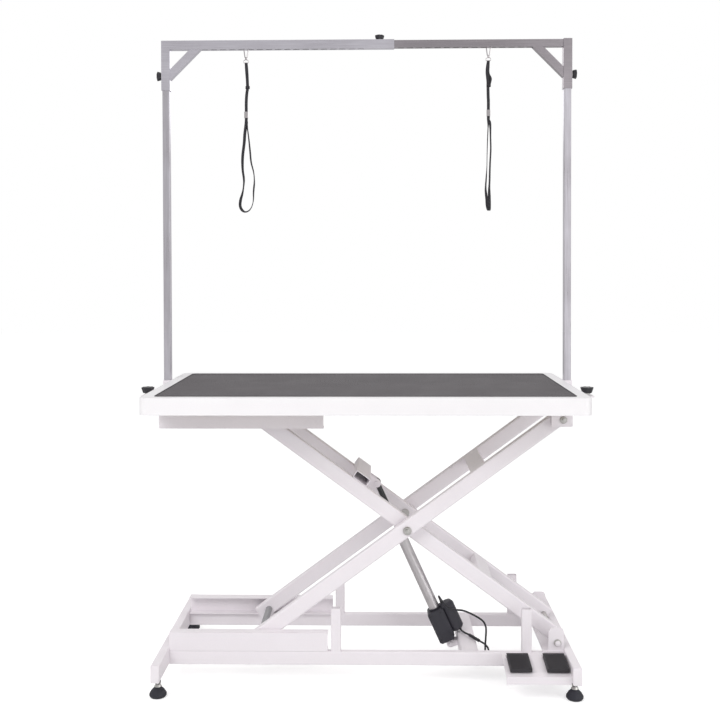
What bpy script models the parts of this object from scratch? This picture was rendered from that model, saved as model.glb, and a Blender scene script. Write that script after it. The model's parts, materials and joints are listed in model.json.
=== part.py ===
"""Electric scissor-lift grooming table with an overhead arch and two grooming loops.

Run it with: blender --background --python part.py
Metres, +Z up. X runs along the table's length, Y across it, and the floor is Z = 0.
"""

import math

import bmesh
import bpy
from mathutils import Matrix, Vector

# ---------------------------------------------------------------- driving sizes
GAP = 0.0003  # left between pieces that touch
PIN_GAP = 0.0003  # radial clearance of a pin in its hole

# table top
TABLE_LENGTH = 1.25
TABLE_DEPTH = 0.64
TABLE_TOP = 0.855
BAND_HEIGHT = 0.048
RIM_WIDTH = 0.035
TABLE_CORNER = 0.022
MAT_THICKNESS = 0.004
MAT_CORNER = 0.012
PANEL_THICKNESS = 0.025

# base frame
BASE_LENGTH = 1.202
BEAM_WIDTH = 0.025
BEAM_HEIGHT = 0.050
BEAM_LENGTH = 0.590
BASE_CLEAR = 0.053  # floor to the underside of the tubes
RAIL_DEPTH = 0.020
RAIL_HEIGHT = 0.040
RAIL_SPREAD = 0.331  # outer face to outer face
TUBE_WALL = 0.002
FOOT_SETBACK = 0.0395  # beam end to levelling foot

# roller tracks, the same channel at the base and under the table
TRACK_HEIGHT = 0.0535
TRACK_DEPTH = 0.031
TRACK_WALL = 0.003
BASE_TRACK_END = -0.1115
TABLE_TRACK_X = (-0.602, -0.122)

# scissor arms
LOWER_HALF_ARM = 0.540  # base pivot to centre pivot
UPPER_HALF_ARM = 0.5605  # centre pivot to table pivot
BASE_PIVOT_X = 0.5575
TABLE_PIVOT_DROP = 0.0845  # table pivot below the table top
ARM_DEPTH = 0.045
ARM_WIDTH = 0.025
ARM_BORE_EDGE = 0.0185  # pivots to the arm's lower side
OUTER_ARM_FACE = 0.133  # outer face of the outer arms, from the middle
ARM_SPACE = 0.006  # between an outer and an inner arm
ARM_END_FIXED = 0.012  # arm past its fixed pivot
ARM_END_ROLLER = 0.034  # arm past its roller axle
PIVOT_RADIUS = 0.008
CENTRE_HEAD_RADIUS = 0.0125
CROSS_WIDTH = 0.050
CROSS_HEIGHT = 0.025
CROSS_FROM_CENTRE = 0.275
ROLLER_SPACE = 0.00325  # roller to the track's lips
ROLLER_WIDTH = 0.019
AXLE_RADIUS = 0.010

# rest posts that carry the lowered table
REST_POST_WIDTH = 0.029
REST_POST_TOP = 0.219
REST_POST_X = (-0.0875, 0.468)
BATTEN_WIDTH = 0.034

# actuator
ACTUATOR_FOOT = Vector((0.2577, 0.0, 0.059))
CLEVIS_ALONG = 0.1385  # along the inner arm from the centre pivot
CLEVIS_OVER_ARM = 0.0119  # above the arm's upper side
UPPER_CROSS_ALONG = 0.195
TUBE_RADIUS = 0.0163
TUBE_BORE = 0.0096
ROD_RADIUS = 0.0084
ROD_LENGTH = 0.255
EYE_RADIUS = 0.0125
EYE_WIDTH = 0.014
TUBE_END = 0.372  # foot pivot to the open end of the tube
HOUSING_TOP = 0.1144
EAR_WALL = 0.005
EAR_SPACE = 0.003  # eye to ear
FOOT_CROSS_X = (0.279, 0.329)

# pedals, on a plate that slopes down from the front rail
PEDAL_PLATE_START = 0.394
PLATE_WALL = 0.003
PLATE_REACH = 0.114
PLATE_DROP = 0.0215
PLATE_LIP = 0.022
PEDAL_X = (0.437, 0.541)
PEDAL_WIDTH = 0.062
PEDAL_LENGTH = 0.086
PEDAL_HINGE_BACK = 0.021  # rail face to the pedals' hinge
PEDAL_HINGE_HEIGHT = 0.0055  # above the plate
PEDAL_TOP_REAR = 0.0045  # above the hinge
PEDAL_TOP_FRONT = 0.0100
PEDAL_TRAVEL = math.radians(2.5)
HINGE_EAR = 0.0024

# control box behind the front rail, and its two cables
CONTROL_BOX_X = (0.334, 0.452)
CONTROL_BOX_Z = (0.0475, 0.0705)
CONTROL_BOX_DEPTH = 0.046
CABLE_RADIUS = 0.0028
CONNECTOR_RADIUS = 0.0048
# Each cable's route is chosen by hand, from the actuator to the control box.
MOTOR_CABLE = (
    (0.2298, 0.000, 0.1832),
    (0.2235, -0.003, 0.1970),
    (0.2222, -0.014, 0.2050),
    (0.2300, -0.028, 0.1970),
    (0.2485, -0.035, 0.1785),
    (0.2710, -0.039, 0.1730),
    (0.2940, -0.047, 0.1730),
    (0.3160, -0.062, 0.1690),
    (0.3370, -0.083, 0.1640),
    (0.3490, -0.104, 0.1600),
    (0.3540, -0.117, 0.1500),
    (0.3545, -0.121, 0.1390),
    (0.3536, -0.121, 0.1200),
    (0.3520, -0.121, 0.0950),
    (0.3520, -0.121, 0.0709),
)
CONTROL_CABLE = (
    (0.2877, -0.0040, 0.1041),
    (0.2893, -0.0052, 0.1006),
    (0.2945, -0.0140, 0.0976),
    (0.3025, -0.0320, 0.0987),
    (0.3078, -0.0432, 0.1003),
    (0.3120, -0.0500, 0.1000),
)
CONNECTOR_END = (0.3370, -0.0900, 0.0985)
CONTROL_LEAD = (
    (0.3373, -0.0905, 0.0985),
    (0.3405, -0.0956, 0.0983),
    (0.3510, -0.1050, 0.0950),
    (0.3610, -0.1100, 0.0850),
    (0.3640, -0.1110, 0.0709),
)

# arch
POST_OUT = 0.0175  # table end to the middle of a post
POST_Y = 0.148
POST_SIDE = 0.0225
POST_TOP = 1.862
POST_BELOW = 0.085  # post's foot below the table top
POST_SPACE = 0.0005  # post to sleeve
SLEEVE_WALL = 0.002
SLEEVE_BOTTOM = 1.782
ARCH_TOP = 1.941
ARM_TUBE_END = 0.0905  # where the outer arch tube stops
INNER_TUBE_START = -0.060
BRACE_LEG = 0.100
BRACE_SIDE = 0.024
KNOB_RADIUS = 0.0158
KNOB_THICKNESS = 0.0125
HEIGHT_KNOB_Z = 1.829
WIDTH_KNOB_X = 0.0436
SLOT_PITCH = 0.0295
SLOT_LENGTH = 0.0195
SLOT_WIDTH = 0.006
CLAMP_KNOB_OUT = 0.072  # table end to the clamp screw
CLAMP_KNOB_Y = 0.100
CLAMP_KNOB_BELOW = 0.021  # knob's seat below the table top
CLAMP_KNOB_RADIUS = 0.0215
FIRST_SLOT_LEFT = 0.095  # post to the first slot
LAST_SLOT_LEFT = 0.090  # last slot to the outer tube's end
FIRST_SLOT_RIGHT = 0.0208  # outer tube's end to the first slot
LAST_SLOT_RIGHT = 0.095

# grooming loops, hooked over the metal between two slots, counted from the bar's left
HOOK_SLOTS = {"left": 5, "right": 9}
HOOK_WIRE = 0.0018
HOOK_RING = 0.0075
HOOK_TIP = 0.026  # slots to the swivel
SWIVEL_RADIUS = 0.0032
SWIVEL_LENGTH = 0.007
EYE_WIRE = 0.0014
EYE_HALF_WIDTH = 0.0076
EYE_DROP = 0.043  # slots to the wire that the strap hangs on
STRAP_WIDTH = 0.0095
STRAP_THICKNESS = 0.0020
STRAP_END_RADIUS = 0.0042
STEM_THICKNESS = 0.0042
SLIDE_DROP = 0.200  # slots to the top of the slide
SLIDE_LENGTH = 0.0205
SLIDE_WALL = 0.0014
# The hanging noose: sideways and below the slots, chosen by hand.
NOOSE = (
    (-0.0013, 0.240),
    (-0.0052, 0.272),
    (-0.0072, 0.300),
    (-0.0125, 0.345),
    (-0.0125, 0.385),
    (-0.0085, 0.420),
    (-0.0120, 0.455),
    (-0.0200, 0.485),
    (-0.0205, 0.505),
    (-0.0120, 0.5185),
    (0.0000, 0.521),
    (0.0130, 0.511),
    (0.0210, 0.488),
    (0.0225, 0.455),
    (0.0250, 0.425),
    (0.0230, 0.395),
    (0.0150, 0.362),
    (0.0115, 0.325),
    (0.0075, 0.285),
    (0.0025, 0.245),
)

# ---------------------------------------------------------------- worked-out places
RAIL_TOP = BASE_CLEAR + RAIL_HEIGHT
ARM_BORE_OFFSET = ARM_DEPTH / 2 - ARM_BORE_EDGE  # pivots below the arm's centre line
CLEVIS_ABOVE = ARM_BORE_OFFSET + ARM_DEPTH / 2 + CLEVIS_OVER_ARM
POST_X = TABLE_LENGTH / 2 + POST_OUT
CLAMP_KNOB_X = TABLE_LENGTH / 2 + CLAMP_KNOB_OUT
POST_BOTTOM = TABLE_TOP - POST_BELOW
CLAMP_KNOB_TOP = TABLE_TOP - CLAMP_KNOB_BELOW
SLEEVE_SIDE = POST_SIDE + 2 * (POST_SPACE + SLEEVE_WALL)
ROLLER_RADIUS = TRACK_HEIGHT / 2 - TRACK_WALL - ROLLER_SPACE
BEAM_X = BASE_LENGTH / 2 - BEAM_WIDTH / 2
BEAM_INNER = BASE_LENGTH / 2 - BEAM_WIDTH
RAIL_OUT = RAIL_SPREAD / 2
RAIL_IN = RAIL_OUT - RAIL_DEPTH
TRACK_FLOOR = RAIL_TOP + GAP
BASE_PIVOT_Z = TRACK_FLOOR + TRACK_HEIGHT / 2
TABLE_PIVOT_Z = TABLE_TOP - TABLE_PIVOT_DROP
PANEL_UNDER = TABLE_TOP - MAT_THICKNESS - GAP - PANEL_THICKNESS
BATTEN_UNDER = TABLE_TOP - BAND_HEIGHT
LIFT = math.asin((TABLE_PIVOT_Z - BASE_PIVOT_Z) / (LOWER_HALF_ARM + UPPER_HALF_ARM))
ALONG_INNER = Vector((-math.cos(LIFT), 0, math.sin(LIFT)))  # base pivot to table roller
ALONG_OUTER = Vector((math.cos(LIFT), 0, math.sin(LIFT)))  # base roller to table pivot
BASE_PIVOT = Vector((BASE_PIVOT_X, 0, BASE_PIVOT_Z))
CENTRE = BASE_PIVOT + LOWER_HALF_ARM * ALONG_INNER
BASE_ROLLER = CENTRE - LOWER_HALF_ARM * ALONG_OUTER
TABLE_PIVOT = CENTRE + UPPER_HALF_ARM * ALONG_OUTER
TABLE_ROLLER = CENTRE + UPPER_HALF_ARM * ALONG_INNER
OUTER_ARM_Y = OUTER_ARM_FACE - ARM_WIDTH / 2
OUTER_ARM_INNER = OUTER_ARM_FACE - ARM_WIDTH
INNER_ARM_FACE = OUTER_ARM_INNER - ARM_SPACE
INNER_ARM_Y = INNER_ARM_FACE - ARM_WIDTH / 2
INNER_ARM_INNER = INNER_ARM_FACE - ARM_WIDTH
ROLLER_Y = RAIL_OUT - TRACK_WALL - 0.0015 - ROLLER_WIDTH / 2
INNER_NORMAL = Vector((math.sin(LIFT), 0, math.cos(LIFT)))  # above the inner arms
CLEVIS = CENTRE + CLEVIS_ALONG * ALONG_INNER + CLEVIS_ABOVE * INNER_NORMAL
ACTUATOR_LINE = CLEVIS - ACTUATOR_FOOT
ACTUATOR_TILT = math.atan2(-ACTUATOR_LINE.x, ACTUATOR_LINE.z)  # leaning to -X
LUG_WALL = 0.006
LUG_OUT = RAIL_OUT - 0.0055
LUG_IN = LUG_OUT - LUG_WALL
SLEEVE_INNER = SLEEVE_SIDE - 2 * SLEEVE_WALL
BAR_AXIS_Z = ARCH_TOP - SLEEVE_SIDE / 2
SLOTS = {"left": (FIRST_SLOT_LEFT - POST_X, ARM_TUBE_END - LAST_SLOT_LEFT),
         "right": (ARM_TUBE_END + FIRST_SLOT_RIGHT, POST_X - LAST_SLOT_RIGHT)}
INNER_BAR = SLEEVE_INNER - 2 * GAP
BAR_SIZE = {"left": SLEEVE_SIDE, "right": INNER_BAR}
ACTUATOR_TURN = (0, -ACTUATOR_TILT, 0)
PLATE_BACK = RAIL_OUT + GAP
PLATE_SLOPE = math.atan2(PLATE_DROP, PLATE_REACH)
PLATE_TOP = RAIL_TOP - 0.001


# ---------------------------------------------------------------- materials
def material(name, colour, roughness, metallic=0.0):
    made = bpy.data.materials.new(name)
    made.use_nodes = True
    shader = made.node_tree.nodes["Principled BSDF"]
    shader.inputs["Base Color"].default_value = (*colour, 1)
    shader.inputs["Roughness"].default_value = roughness
    shader.inputs["Metallic"].default_value = metallic
    return made


# ---------------------------------------------------------------- shape helpers
def place(name, mesh, finish, at=(0, 0, 0), turn=(0, 0, 0), helper=False):
    """Links a mesh as a named object, with its origin at the place it turns about."""
    made = bpy.data.objects.new(name, mesh)
    bpy.context.scene.collection.objects.link(made)
    made.location = at
    made.rotation_euler = turn
    if helper:
        made.hide_render = True
        made.display_type = "WIRE"
    else:
        mesh.materials.append(finish)
    return made


def mesh_from(shape, name):
    bmesh.ops.recalc_face_normals(shape, faces=shape.faces)
    mesh = bpy.data.meshes.new(name)
    shape.to_mesh(mesh)
    shape.free()
    return mesh


def box_points(width, height, radius=0.0, steps=3):
    """A rectangle's outline round the origin, with arcs of the given radius at its corners."""
    half_w, half_h = width / 2 - radius, height / 2 - radius
    corners = ((half_w, half_h), (-half_w, half_h), (-half_w, -half_h), (half_w, -half_h))
    if not radius:
        return list(corners)
    points = []
    for index, (x, y) in enumerate(corners):
        for step in range(steps + 1):
            angle = math.pi / 2 * (index + step / steps)
            points.append((x + radius * math.cos(angle), y + radius * math.sin(angle)))
    return points


def circle_points(radius, count=24, at=(0.0, 0.0)):
    turns = (2 * math.pi * index / count for index in range(count))
    return [(at[0] + radius * math.cos(turn), at[1] + radius * math.sin(turn)) for turn in turns]


def prism(outlines, low, high, axes="XYZ"):
    """Extrudes a flat shape, an outline and its holes, from low to high along the third axis."""
    order = ["XYZ".index(axis) for axis in axes]
    shape = bmesh.new()
    edges = []
    for outline in outlines:
        verts = []
        for point in outline:
            place_at = [0.0, 0.0, 0.0]
            place_at[order[0]], place_at[order[1]], place_at[order[2]] = *point, low
            verts.append(shape.verts.new(place_at))
        pairs = zip(verts, verts[1:] + verts[:1])
        edges += [shape.edges.new(pair) for pair in pairs]
    if len(outlines) == 1:
        shape.faces.new(list(shape.verts))
    else:
        bmesh.ops.triangle_fill(shape, edges=edges, use_beauty=True)
    raised = bmesh.ops.extrude_face_region(shape, geom=list(shape.faces))
    shift = Vector((0, 0, 0))
    shift[order[2]] = high - low
    moved = [part for part in raised["geom"] if isinstance(part, bmesh.types.BMVert)]
    bmesh.ops.translate(shape, verts=moved, vec=shift)
    return mesh_from(shape, "prism")


def turned(profile, axis="Z", steps=24):
    """Spins a profile of (radius, height) points about an axis through the origin."""
    shape = bmesh.new()
    rings = []
    for radius, height in profile:
        if radius == 0:
            rings.append([shape.verts.new((0, 0, height))])
            continue
        ring = circle_points(radius, steps)
        rings.append([shape.verts.new((x, y, height)) for x, y in ring])
    for lower, upper in zip(rings, rings[1:]):
        for index in range(steps):
            after = (index + 1) % steps
            corners = [lower[index % len(lower)], lower[after % len(lower)]]
            corners += [upper[after % len(upper)], upper[index % len(upper)]]
            shape.faces.new(list(dict.fromkeys(corners)))
    if axis == "Y":
        bmesh.ops.rotate(shape, verts=shape.verts, matrix=Matrix.Rotation(-math.pi / 2, 3, "X"))
    if axis == "X":
        bmesh.ops.rotate(shape, verts=shape.verts, matrix=Matrix.Rotation(math.pi / 2, 3, "Y"))
    return mesh_from(shape, "turned")


def cylinder(radius, low, high, axis="Y", steps=24):
    return turned([(0, low), (radius, low), (radius, high), (0, high)], axis, steps)


def block(low, high):
    width, depth = high[0] - low[0], high[1] - low[1]
    middle = ((low[0] + high[0]) / 2, (low[1] + high[1]) / 2)
    outline = [(middle[0] + x, middle[1] + y) for x, y in box_points(width, depth)]
    return prism([outline], low[2], high[2])


def square_tube(width, height, wall, low, high, axes, radius=0.003, middle=(0.0, 0.0)):
    """A hollow rectangular tube with open ends."""
    outer = box_points(width, height, radius, 2)
    inner = box_points(width - 2 * wall, height - 2 * wall)
    shift = [[(x + middle[0], y + middle[1]) for x, y in outline] for outline in (outer, inner)]
    return prism(shift, low, high, axes)


def combine(target, operation, meshes, at=None, turn=None):
    """Joins meshes to the object, or cuts them from it, in the object's own frame."""
    for mesh in meshes:
        helper_at = target.location if at is None else at
        helper_turn = target.rotation_euler if turn is None else turn
        helper = place(target.name + "_tool", mesh, None, helper_at, helper_turn, helper=True)
        boolean = target.modifiers.new(operation.lower(), "BOOLEAN")
        boolean.operation = operation
        boolean.solver = "EXACT"
        boolean.object = helper
    return target


def build_base(white):
    beam_axes = "XZY"
    for side, name in ((-1, "left"), (1, "right")):
        tube = square_tube(BEAM_WIDTH, BEAM_HEIGHT, TUBE_WALL, -BEAM_LENGTH / 2, BEAM_LENGTH / 2, beam_axes)
        beam = place(f"end_beam_{name}", tube, white, (side * BEAM_X, 0, BASE_CLEAR + BEAM_HEIGHT / 2))
        for end in (-1, 1):
            foot_y = end * (BEAM_LENGTH / 2 - FOOT_SETBACK)
            hole = cylinder(0.006 + PIN_GAP, -BEAM_HEIGHT, 0, "Z", 16)
            combine(beam, "DIFFERENCE", [hole], at=beam.location + Vector((0, foot_y, 0)))
    rail_z = BASE_CLEAR + RAIL_HEIGHT / 2
    for side, name in ((-1, "front"), (1, "rear")):
        rail_y = side * (RAIL_OUT - RAIL_DEPTH / 2)
        tube = square_tube(RAIL_DEPTH, RAIL_HEIGHT, TUBE_WALL, GAP - BEAM_INNER, BEAM_INNER - GAP, "YZX")
        rail = place(f"{name}_rail", tube, white, (0, rail_y, rail_z))
        low, high = RAIL_HEIGHT / 2 - TUBE_WALL / 2, REST_POST_TOP - rail_z
        posts = [square_tube(REST_POST_WIDTH, RAIL_DEPTH - 0.001, TUBE_WALL, low, high, "XYZ", middle=(post_x, 0))
                 for post_x in REST_POST_X]
        combine(rail, "UNION", posts)
    build_track("base_track", (GAP - BEAM_INNER, BASE_TRACK_END), TRACK_FLOOR, white)
    build_pivot_bracket(white)
    build_foot_cross(white)


def build_track(name, ends, floor, white, hanger_top=None):
    """Channels that open towards the middle, where the rollers run."""
    for side, place_name in ((-1, "front"), (1, "rear")):
        web, lip = side * RAIL_OUT, side * (RAIL_OUT - TRACK_DEPTH)
        inside = side * (RAIL_OUT - TRACK_WALL)
        top = floor + TRACK_HEIGHT
        outline = [(web, floor), (lip, floor), (lip, floor + TRACK_WALL), (inside, floor + TRACK_WALL)]
        outline += [(inside, top - TRACK_WALL), (lip, top - TRACK_WALL), (lip, top), (web, top)]
        track = place(f"{name}_{place_name}", prism([outline], ends[0], ends[1], "YZX"), white)
        if hanger_top:
            hangers = []
            for share in (0.08, 0.5, 0.92):
                middle = ends[0] + share * (ends[1] - ends[0])
                low = (middle - 0.015, min(web, lip) + 0.004, top - 0.001)
                high = (middle + 0.015, max(web, lip) - 0.004, hanger_top)
                hangers.append(block(low, high))
            combine(track, "UNION", hangers)


def build_pivot_bracket(white):
    """A plate across the rails with a lug at each end that carries the inner arms' pivot."""
    low = TRACK_FLOOR - BASE_PIVOT_Z
    high = low + 0.004
    near = BEAM_INNER - GAP - BASE_PIVOT_X
    plate = block((-0.042, -RAIL_OUT, low), (near, RAIL_OUT, high))
    bracket = place("base_pivot_bracket", plate, white, BASE_PIVOT)
    back, top, corner = -0.026, 0.043, 0.010
    outline = [(near, high - 0.001)]
    for step in range(5):
        angle = math.pi / 8 * step
        outline.append((near - corner + corner * math.cos(angle), top - corner + corner * math.sin(angle)))
    outline += [(back + corner, top), (back, top - corner), (back, high - 0.001)]
    combine(bracket, "UNION", pivot_lugs(outline))


def pivot_lugs(outline):
    """The same plate at both ends of a bracket, with the pivot's hole through it."""
    hole = circle_points(PIVOT_RADIUS + PIN_GAP)
    return [prism([outline, hole], low, high, "XZY") for low, high in ((-LUG_OUT, -LUG_IN), (LUG_IN, LUG_OUT))]


def build_foot_cross(white):
    """The tube across the rails, with the two ears and the pin that hold the actuator's foot."""
    width = FOOT_CROSS_X[1] - FOOT_CROSS_X[0]
    height = RAIL_HEIGHT - GAP
    middle = Vector(((FOOT_CROSS_X[0] + FOOT_CROSS_X[1]) / 2, 0, BASE_CLEAR + RAIL_HEIGHT / 2))
    tube = square_tube(width, height, TUBE_WALL, GAP - RAIL_IN, RAIL_IN - GAP, "XZY")
    cross = place("actuator_cross_tube", tube, white, middle)
    foot = ACTUATOR_FOOT - middle
    ear_in = EYE_WIDTH / 2 + EAR_SPACE
    root, ear = -width / 2 + TUBE_WALL / 2, 0.0115
    outline = [(root, -height / 2 + 0.002), (root, foot.z + ear)]
    for step in range(7):
        angle = math.radians(90 + 30 * step)
        outline.append((foot.x + ear * math.cos(angle), foot.z + ear * math.sin(angle)))
    ears = [prism([outline], low, low + EAR_WALL, "XZY") for low in (-ear_in - EAR_WALL, ear_in)]
    combine(cross, "UNION", ears)
    head = ear_in + EAR_WALL + 0.004
    pin = cylinder(0.006, -head, head, steps=16)
    combine(cross, "UNION", [pin], at=ACTUATOR_FOOT)


def build_feet(black):
    """Levelling feet: a conical pad, a nut and a threaded stem that goes up into the beam."""
    stem = 0.006
    profile = [(0, 0), (0.0215, 0), (0.0245, 0.004), (0.0245, 0.009), (0.019, 0.018), (0.010, 0.027)]
    profile += [(0.008, 0.031), (stem, 0.031), (stem, 0.037), (0.0085, 0.037), (0.0085, 0.045)]
    profile += [(stem, 0.045), (stem, BASE_CLEAR + 0.030), (0, BASE_CLEAR + 0.030)]
    for side, name in ((-1, "left"), (1, "right")):
        for end, place_name in ((-1, "front"), (1, "rear")):
            at = (side * BEAM_X, end * (BEAM_LENGTH / 2 - FOOT_SETBACK), 0)
            place(f"levelling_foot_{place_name}_{name}", turned(profile, "Z", 20), black, at)


# ---------------------------------------------------------------- scissor
def arm_mesh(start, end, bores):
    """A rectangular tube along local X from start to end, with its bores across it."""
    tube = square_tube(ARM_WIDTH, ARM_DEPTH, 0.0025, start, end, "YZX", 0.004, (0, ARM_BORE_OFFSET))
    cutters = []
    for at, radius in bores:
        cutter = cylinder(radius + PIN_GAP, -ARM_WIDTH, ARM_WIDTH)
        cutter.transform(Matrix.Translation((at, 0, 0)))
        cutters.append(cutter)
    return tube, cutters


def build_arms(white):
    """Local X of each arm runs from its centre pivot up to the table; the arm turns about that pivot."""
    for side, name in ((-1, "front"), (1, "rear")):
        bores = [(-LOWER_HALF_ARM, PIVOT_RADIUS), (0, PIVOT_RADIUS), (UPPER_HALF_ARM, AXLE_RADIUS)]
        start, end = -LOWER_HALF_ARM - ARM_END_FIXED, UPPER_HALF_ARM + ARM_END_ROLLER
        tube, cutters = arm_mesh(start, end, bores)
        arm = place(f"inner_arm_{name}", tube, white, CENTRE + Vector((0, side * INNER_ARM_Y, 0)))
        arm.rotation_euler = arm_turn(ALONG_INNER)
        combine(arm, "DIFFERENCE", cutters)
        bores = [(-LOWER_HALF_ARM, AXLE_RADIUS), (0, PIVOT_RADIUS), (UPPER_HALF_ARM, PIVOT_RADIUS)]
        start, end = -LOWER_HALF_ARM - ARM_END_ROLLER, UPPER_HALF_ARM + ARM_END_FIXED
        tube, cutters = arm_mesh(start, end, bores)
        arm = place(f"outer_arm_{name}", tube, white, CENTRE + Vector((0, side * OUTER_ARM_Y, 0)))
        arm.rotation_euler = arm_turn(ALONG_OUTER)
        combine(arm, "DIFFERENCE", cutters)


def arm_turn(along):
    """The rotation that lays local X along an arm with local Z on its upper side."""
    sideways = Vector((0, 1, 0)) if along.x > 0 else Vector((0, -1, 0))
    upwards = along.cross(sideways)
    return Matrix((along, sideways, upwards)).transposed().to_euler()


def build_cross_tubes(white):
    lift_face = ARM_BORE_OFFSET + ARM_DEPTH / 2 - CROSS_HEIGHT / 2 - 0.001
    tube = square_tube(CROSS_WIDTH, CROSS_HEIGHT, TUBE_WALL, GAP - OUTER_ARM_INNER, OUTER_ARM_INNER - GAP,
                       "XZY", middle=(CROSS_FROM_CENTRE, lift_face))
    place("outer_cross_tube", tube, white, CENTRE, arm_turn(ALONG_OUTER))
    tube = square_tube(CROSS_WIDTH, CROSS_HEIGHT, TUBE_WALL, GAP - INNER_ARM_INNER, INNER_ARM_INNER - GAP,
                       "XZY", middle=(-CROSS_FROM_CENTRE, lift_face))
    place("inner_cross_tube", tube, white, CENTRE, arm_turn(ALONG_INNER))
    build_clevis_tube(white)


def build_clevis_tube(white):
    """The tube on top of the inner arms with the clevis ears that the actuator pushes on."""
    seat = ARM_BORE_OFFSET + ARM_DEPTH / 2 + GAP
    middle = (UPPER_CROSS_ALONG, seat + CROSS_HEIGHT / 2)
    tube = square_tube(CROSS_WIDTH, CROSS_HEIGHT, TUBE_WALL, -INNER_ARM_FACE, INNER_ARM_FACE, "XZY",
                       middle=middle)
    clevis = place("clevis_cross_tube", tube, white, CENTRE, arm_turn(ALONG_INNER))
    root = UPPER_CROSS_ALONG - CROSS_WIDTH / 2 + TUBE_WALL / 2
    outline = [(root, seat + 0.002), (root, seat + CROSS_HEIGHT - 0.002)]
    for step in range(7):
        angle = math.radians(75 + 30 * step)
        across, above = EYE_RADIUS * math.cos(angle), EYE_RADIUS * math.sin(angle)
        outline.append((CLEVIS_ALONG + across, CLEVIS_ABOVE + above))
    ear_in = EYE_WIDTH / 2 + EAR_SPACE
    ears = [prism([outline], low, low + EAR_WALL, "XZY") for low in (-ear_in - EAR_WALL, ear_in)]
    for way in (-1, 1):
        ends = sorted((way * (ear_in + 0.001), way * (ear_in + EAR_WALL + 0.005)))
        head = cylinder(0.0075, *ends, steps=16)
        head.transform(Matrix.Translation((CLEVIS_ALONG, 0, CLEVIS_ABOVE)))
        ears.append(head)
    combine(clevis, "UNION", ears)


def build_pivots(steel, grey):
    """Bolts, shafts and roller axles."""
    for side, name in ((-1, "front"), (1, "rear")):
        out, head = OUTER_ARM_FACE + GAP, OUTER_ARM_FACE + 0.006
        collar_in, collar_out = INNER_ARM_FACE + GAP, OUTER_ARM_INNER - GAP
        inside = INNER_ARM_INNER - GAP
        profile = [(0, inside - 0.006), (CENTRE_HEAD_RADIUS, inside - 0.006), (CENTRE_HEAD_RADIUS, inside)]
        profile += [(PIVOT_RADIUS, inside), (PIVOT_RADIUS, collar_in), (0.014, collar_in), (0.014, collar_out)]
        profile += [(PIVOT_RADIUS, collar_out), (PIVOT_RADIUS, out), (CENTRE_HEAD_RADIUS, out)]
        profile += [(CENTRE_HEAD_RADIUS, head - 0.002), (CENTRE_HEAD_RADIUS - 0.002, head), (0, head)]
        if side < 0:
            profile = [(radius, -height) for radius, height in reversed(profile)]
        place(f"centre_bolt_{name}", turned(profile, "Y"), steel, CENTRE)
    place("base_pivot_shaft", turned(shaft_profile(INNER_ARM_FACE), "Y"), steel, BASE_PIVOT)
    place("table_pivot_shaft", turned(shaft_profile(OUTER_ARM_FACE), "Y"), steel, TABLE_PIVOT)
    roller_in, roller_out = ROLLER_Y - ROLLER_WIDTH / 2, ROLLER_Y + ROLLER_WIDTH / 2
    half = [(0, -roller_out), (ROLLER_RADIUS, -roller_out), (ROLLER_RADIUS, -roller_in)]
    half.append((AXLE_RADIUS, -roller_in))
    axle = half + [(radius, -along) for radius, along in reversed(half)]
    place("base_roller_axle", turned(axle, "Y"), grey, BASE_ROLLER)
    place("table_roller_axle", turned(axle, "Y"), grey, TABLE_ROLLER)


def shaft_profile(arm_face):
    """A shaft through both arms and both lugs, with a spacing collar from arm to lug and a head outside."""
    head, collar, far = 0.011, 0.013, LUG_OUT + 0.005
    near_collar, far_collar = arm_face + GAP, LUG_IN - GAP
    half = [(0, -far), (head - 0.003, -far), (head, -far + 0.003), (head, -LUG_OUT - GAP)]
    half += [(PIVOT_RADIUS, -LUG_OUT - GAP), (PIVOT_RADIUS, -far_collar), (collar, -far_collar)]
    half += [(collar, -near_collar), (PIVOT_RADIUS, -near_collar)]
    return half + [(radius, -along) for radius, along in reversed(half)]


# ---------------------------------------------------------------- actuator
def build_actuator(black, steel, aluminium):
    """Local Z runs from the foot pivot to the clevis pin."""
    turn = ACTUATOR_TURN
    low, high = 0.0135, HOUSING_TOP
    outline = [(-0.027, low + 0.006), (-0.021, low), (0.016, low), (0.024, low + 0.012), (0.024, high - 0.004)]
    outline += [(0.018, high), (-0.022, high), (-0.027, high - 0.005)]
    housing = place("motor_housing", prism([outline], -0.027, 0.027, "XZY"), black, ACTUATOR_FOOT, turn)
    motor = [(0, 0.030), (0.017, 0.030), (0.0225, 0.037), (0.0225, 0.112), (0.017, 0.121), (0, 0.124)]
    motor_mesh = turned(motor, "Z", 28)
    motor_mesh.transform(Matrix.Translation((0.0375, 0, 0)))
    eye_outline = [(0.011 * math.cos(math.radians(turn_by)), 0.011 * math.sin(math.radians(turn_by)))
                   for turn_by in range(180, 361, 30)]
    eye_outline += [(0.011, low + 0.004), (-0.011, low + 0.004)]
    eye = prism([eye_outline, circle_points(0.006 + PIN_GAP, 16)], -EYE_WIDTH / 2, EYE_WIDTH / 2, "XZY")
    combine(housing, "UNION", [motor_mesh, eye])
    ring = [circle_points(TUBE_RADIUS, 28), circle_points(TUBE_BORE, 28)]
    place("actuator_tube", prism(ring, HOUSING_TOP + GAP, TUBE_END), aluminium, ACTUATOR_FOOT, turn)
    rod = place("actuator_rod", cylinder(ROD_RADIUS, -ROD_LENGTH, -0.009, "Z", 20), black, CLEVIS, turn)
    eye = prism([circle_points(EYE_RADIUS - 0.0005, 20), circle_points(0.005, 16)],
                -EYE_WIDTH / 2, EYE_WIDTH / 2, "XZY")
    combine(rod, "UNION", [eye])


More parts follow.
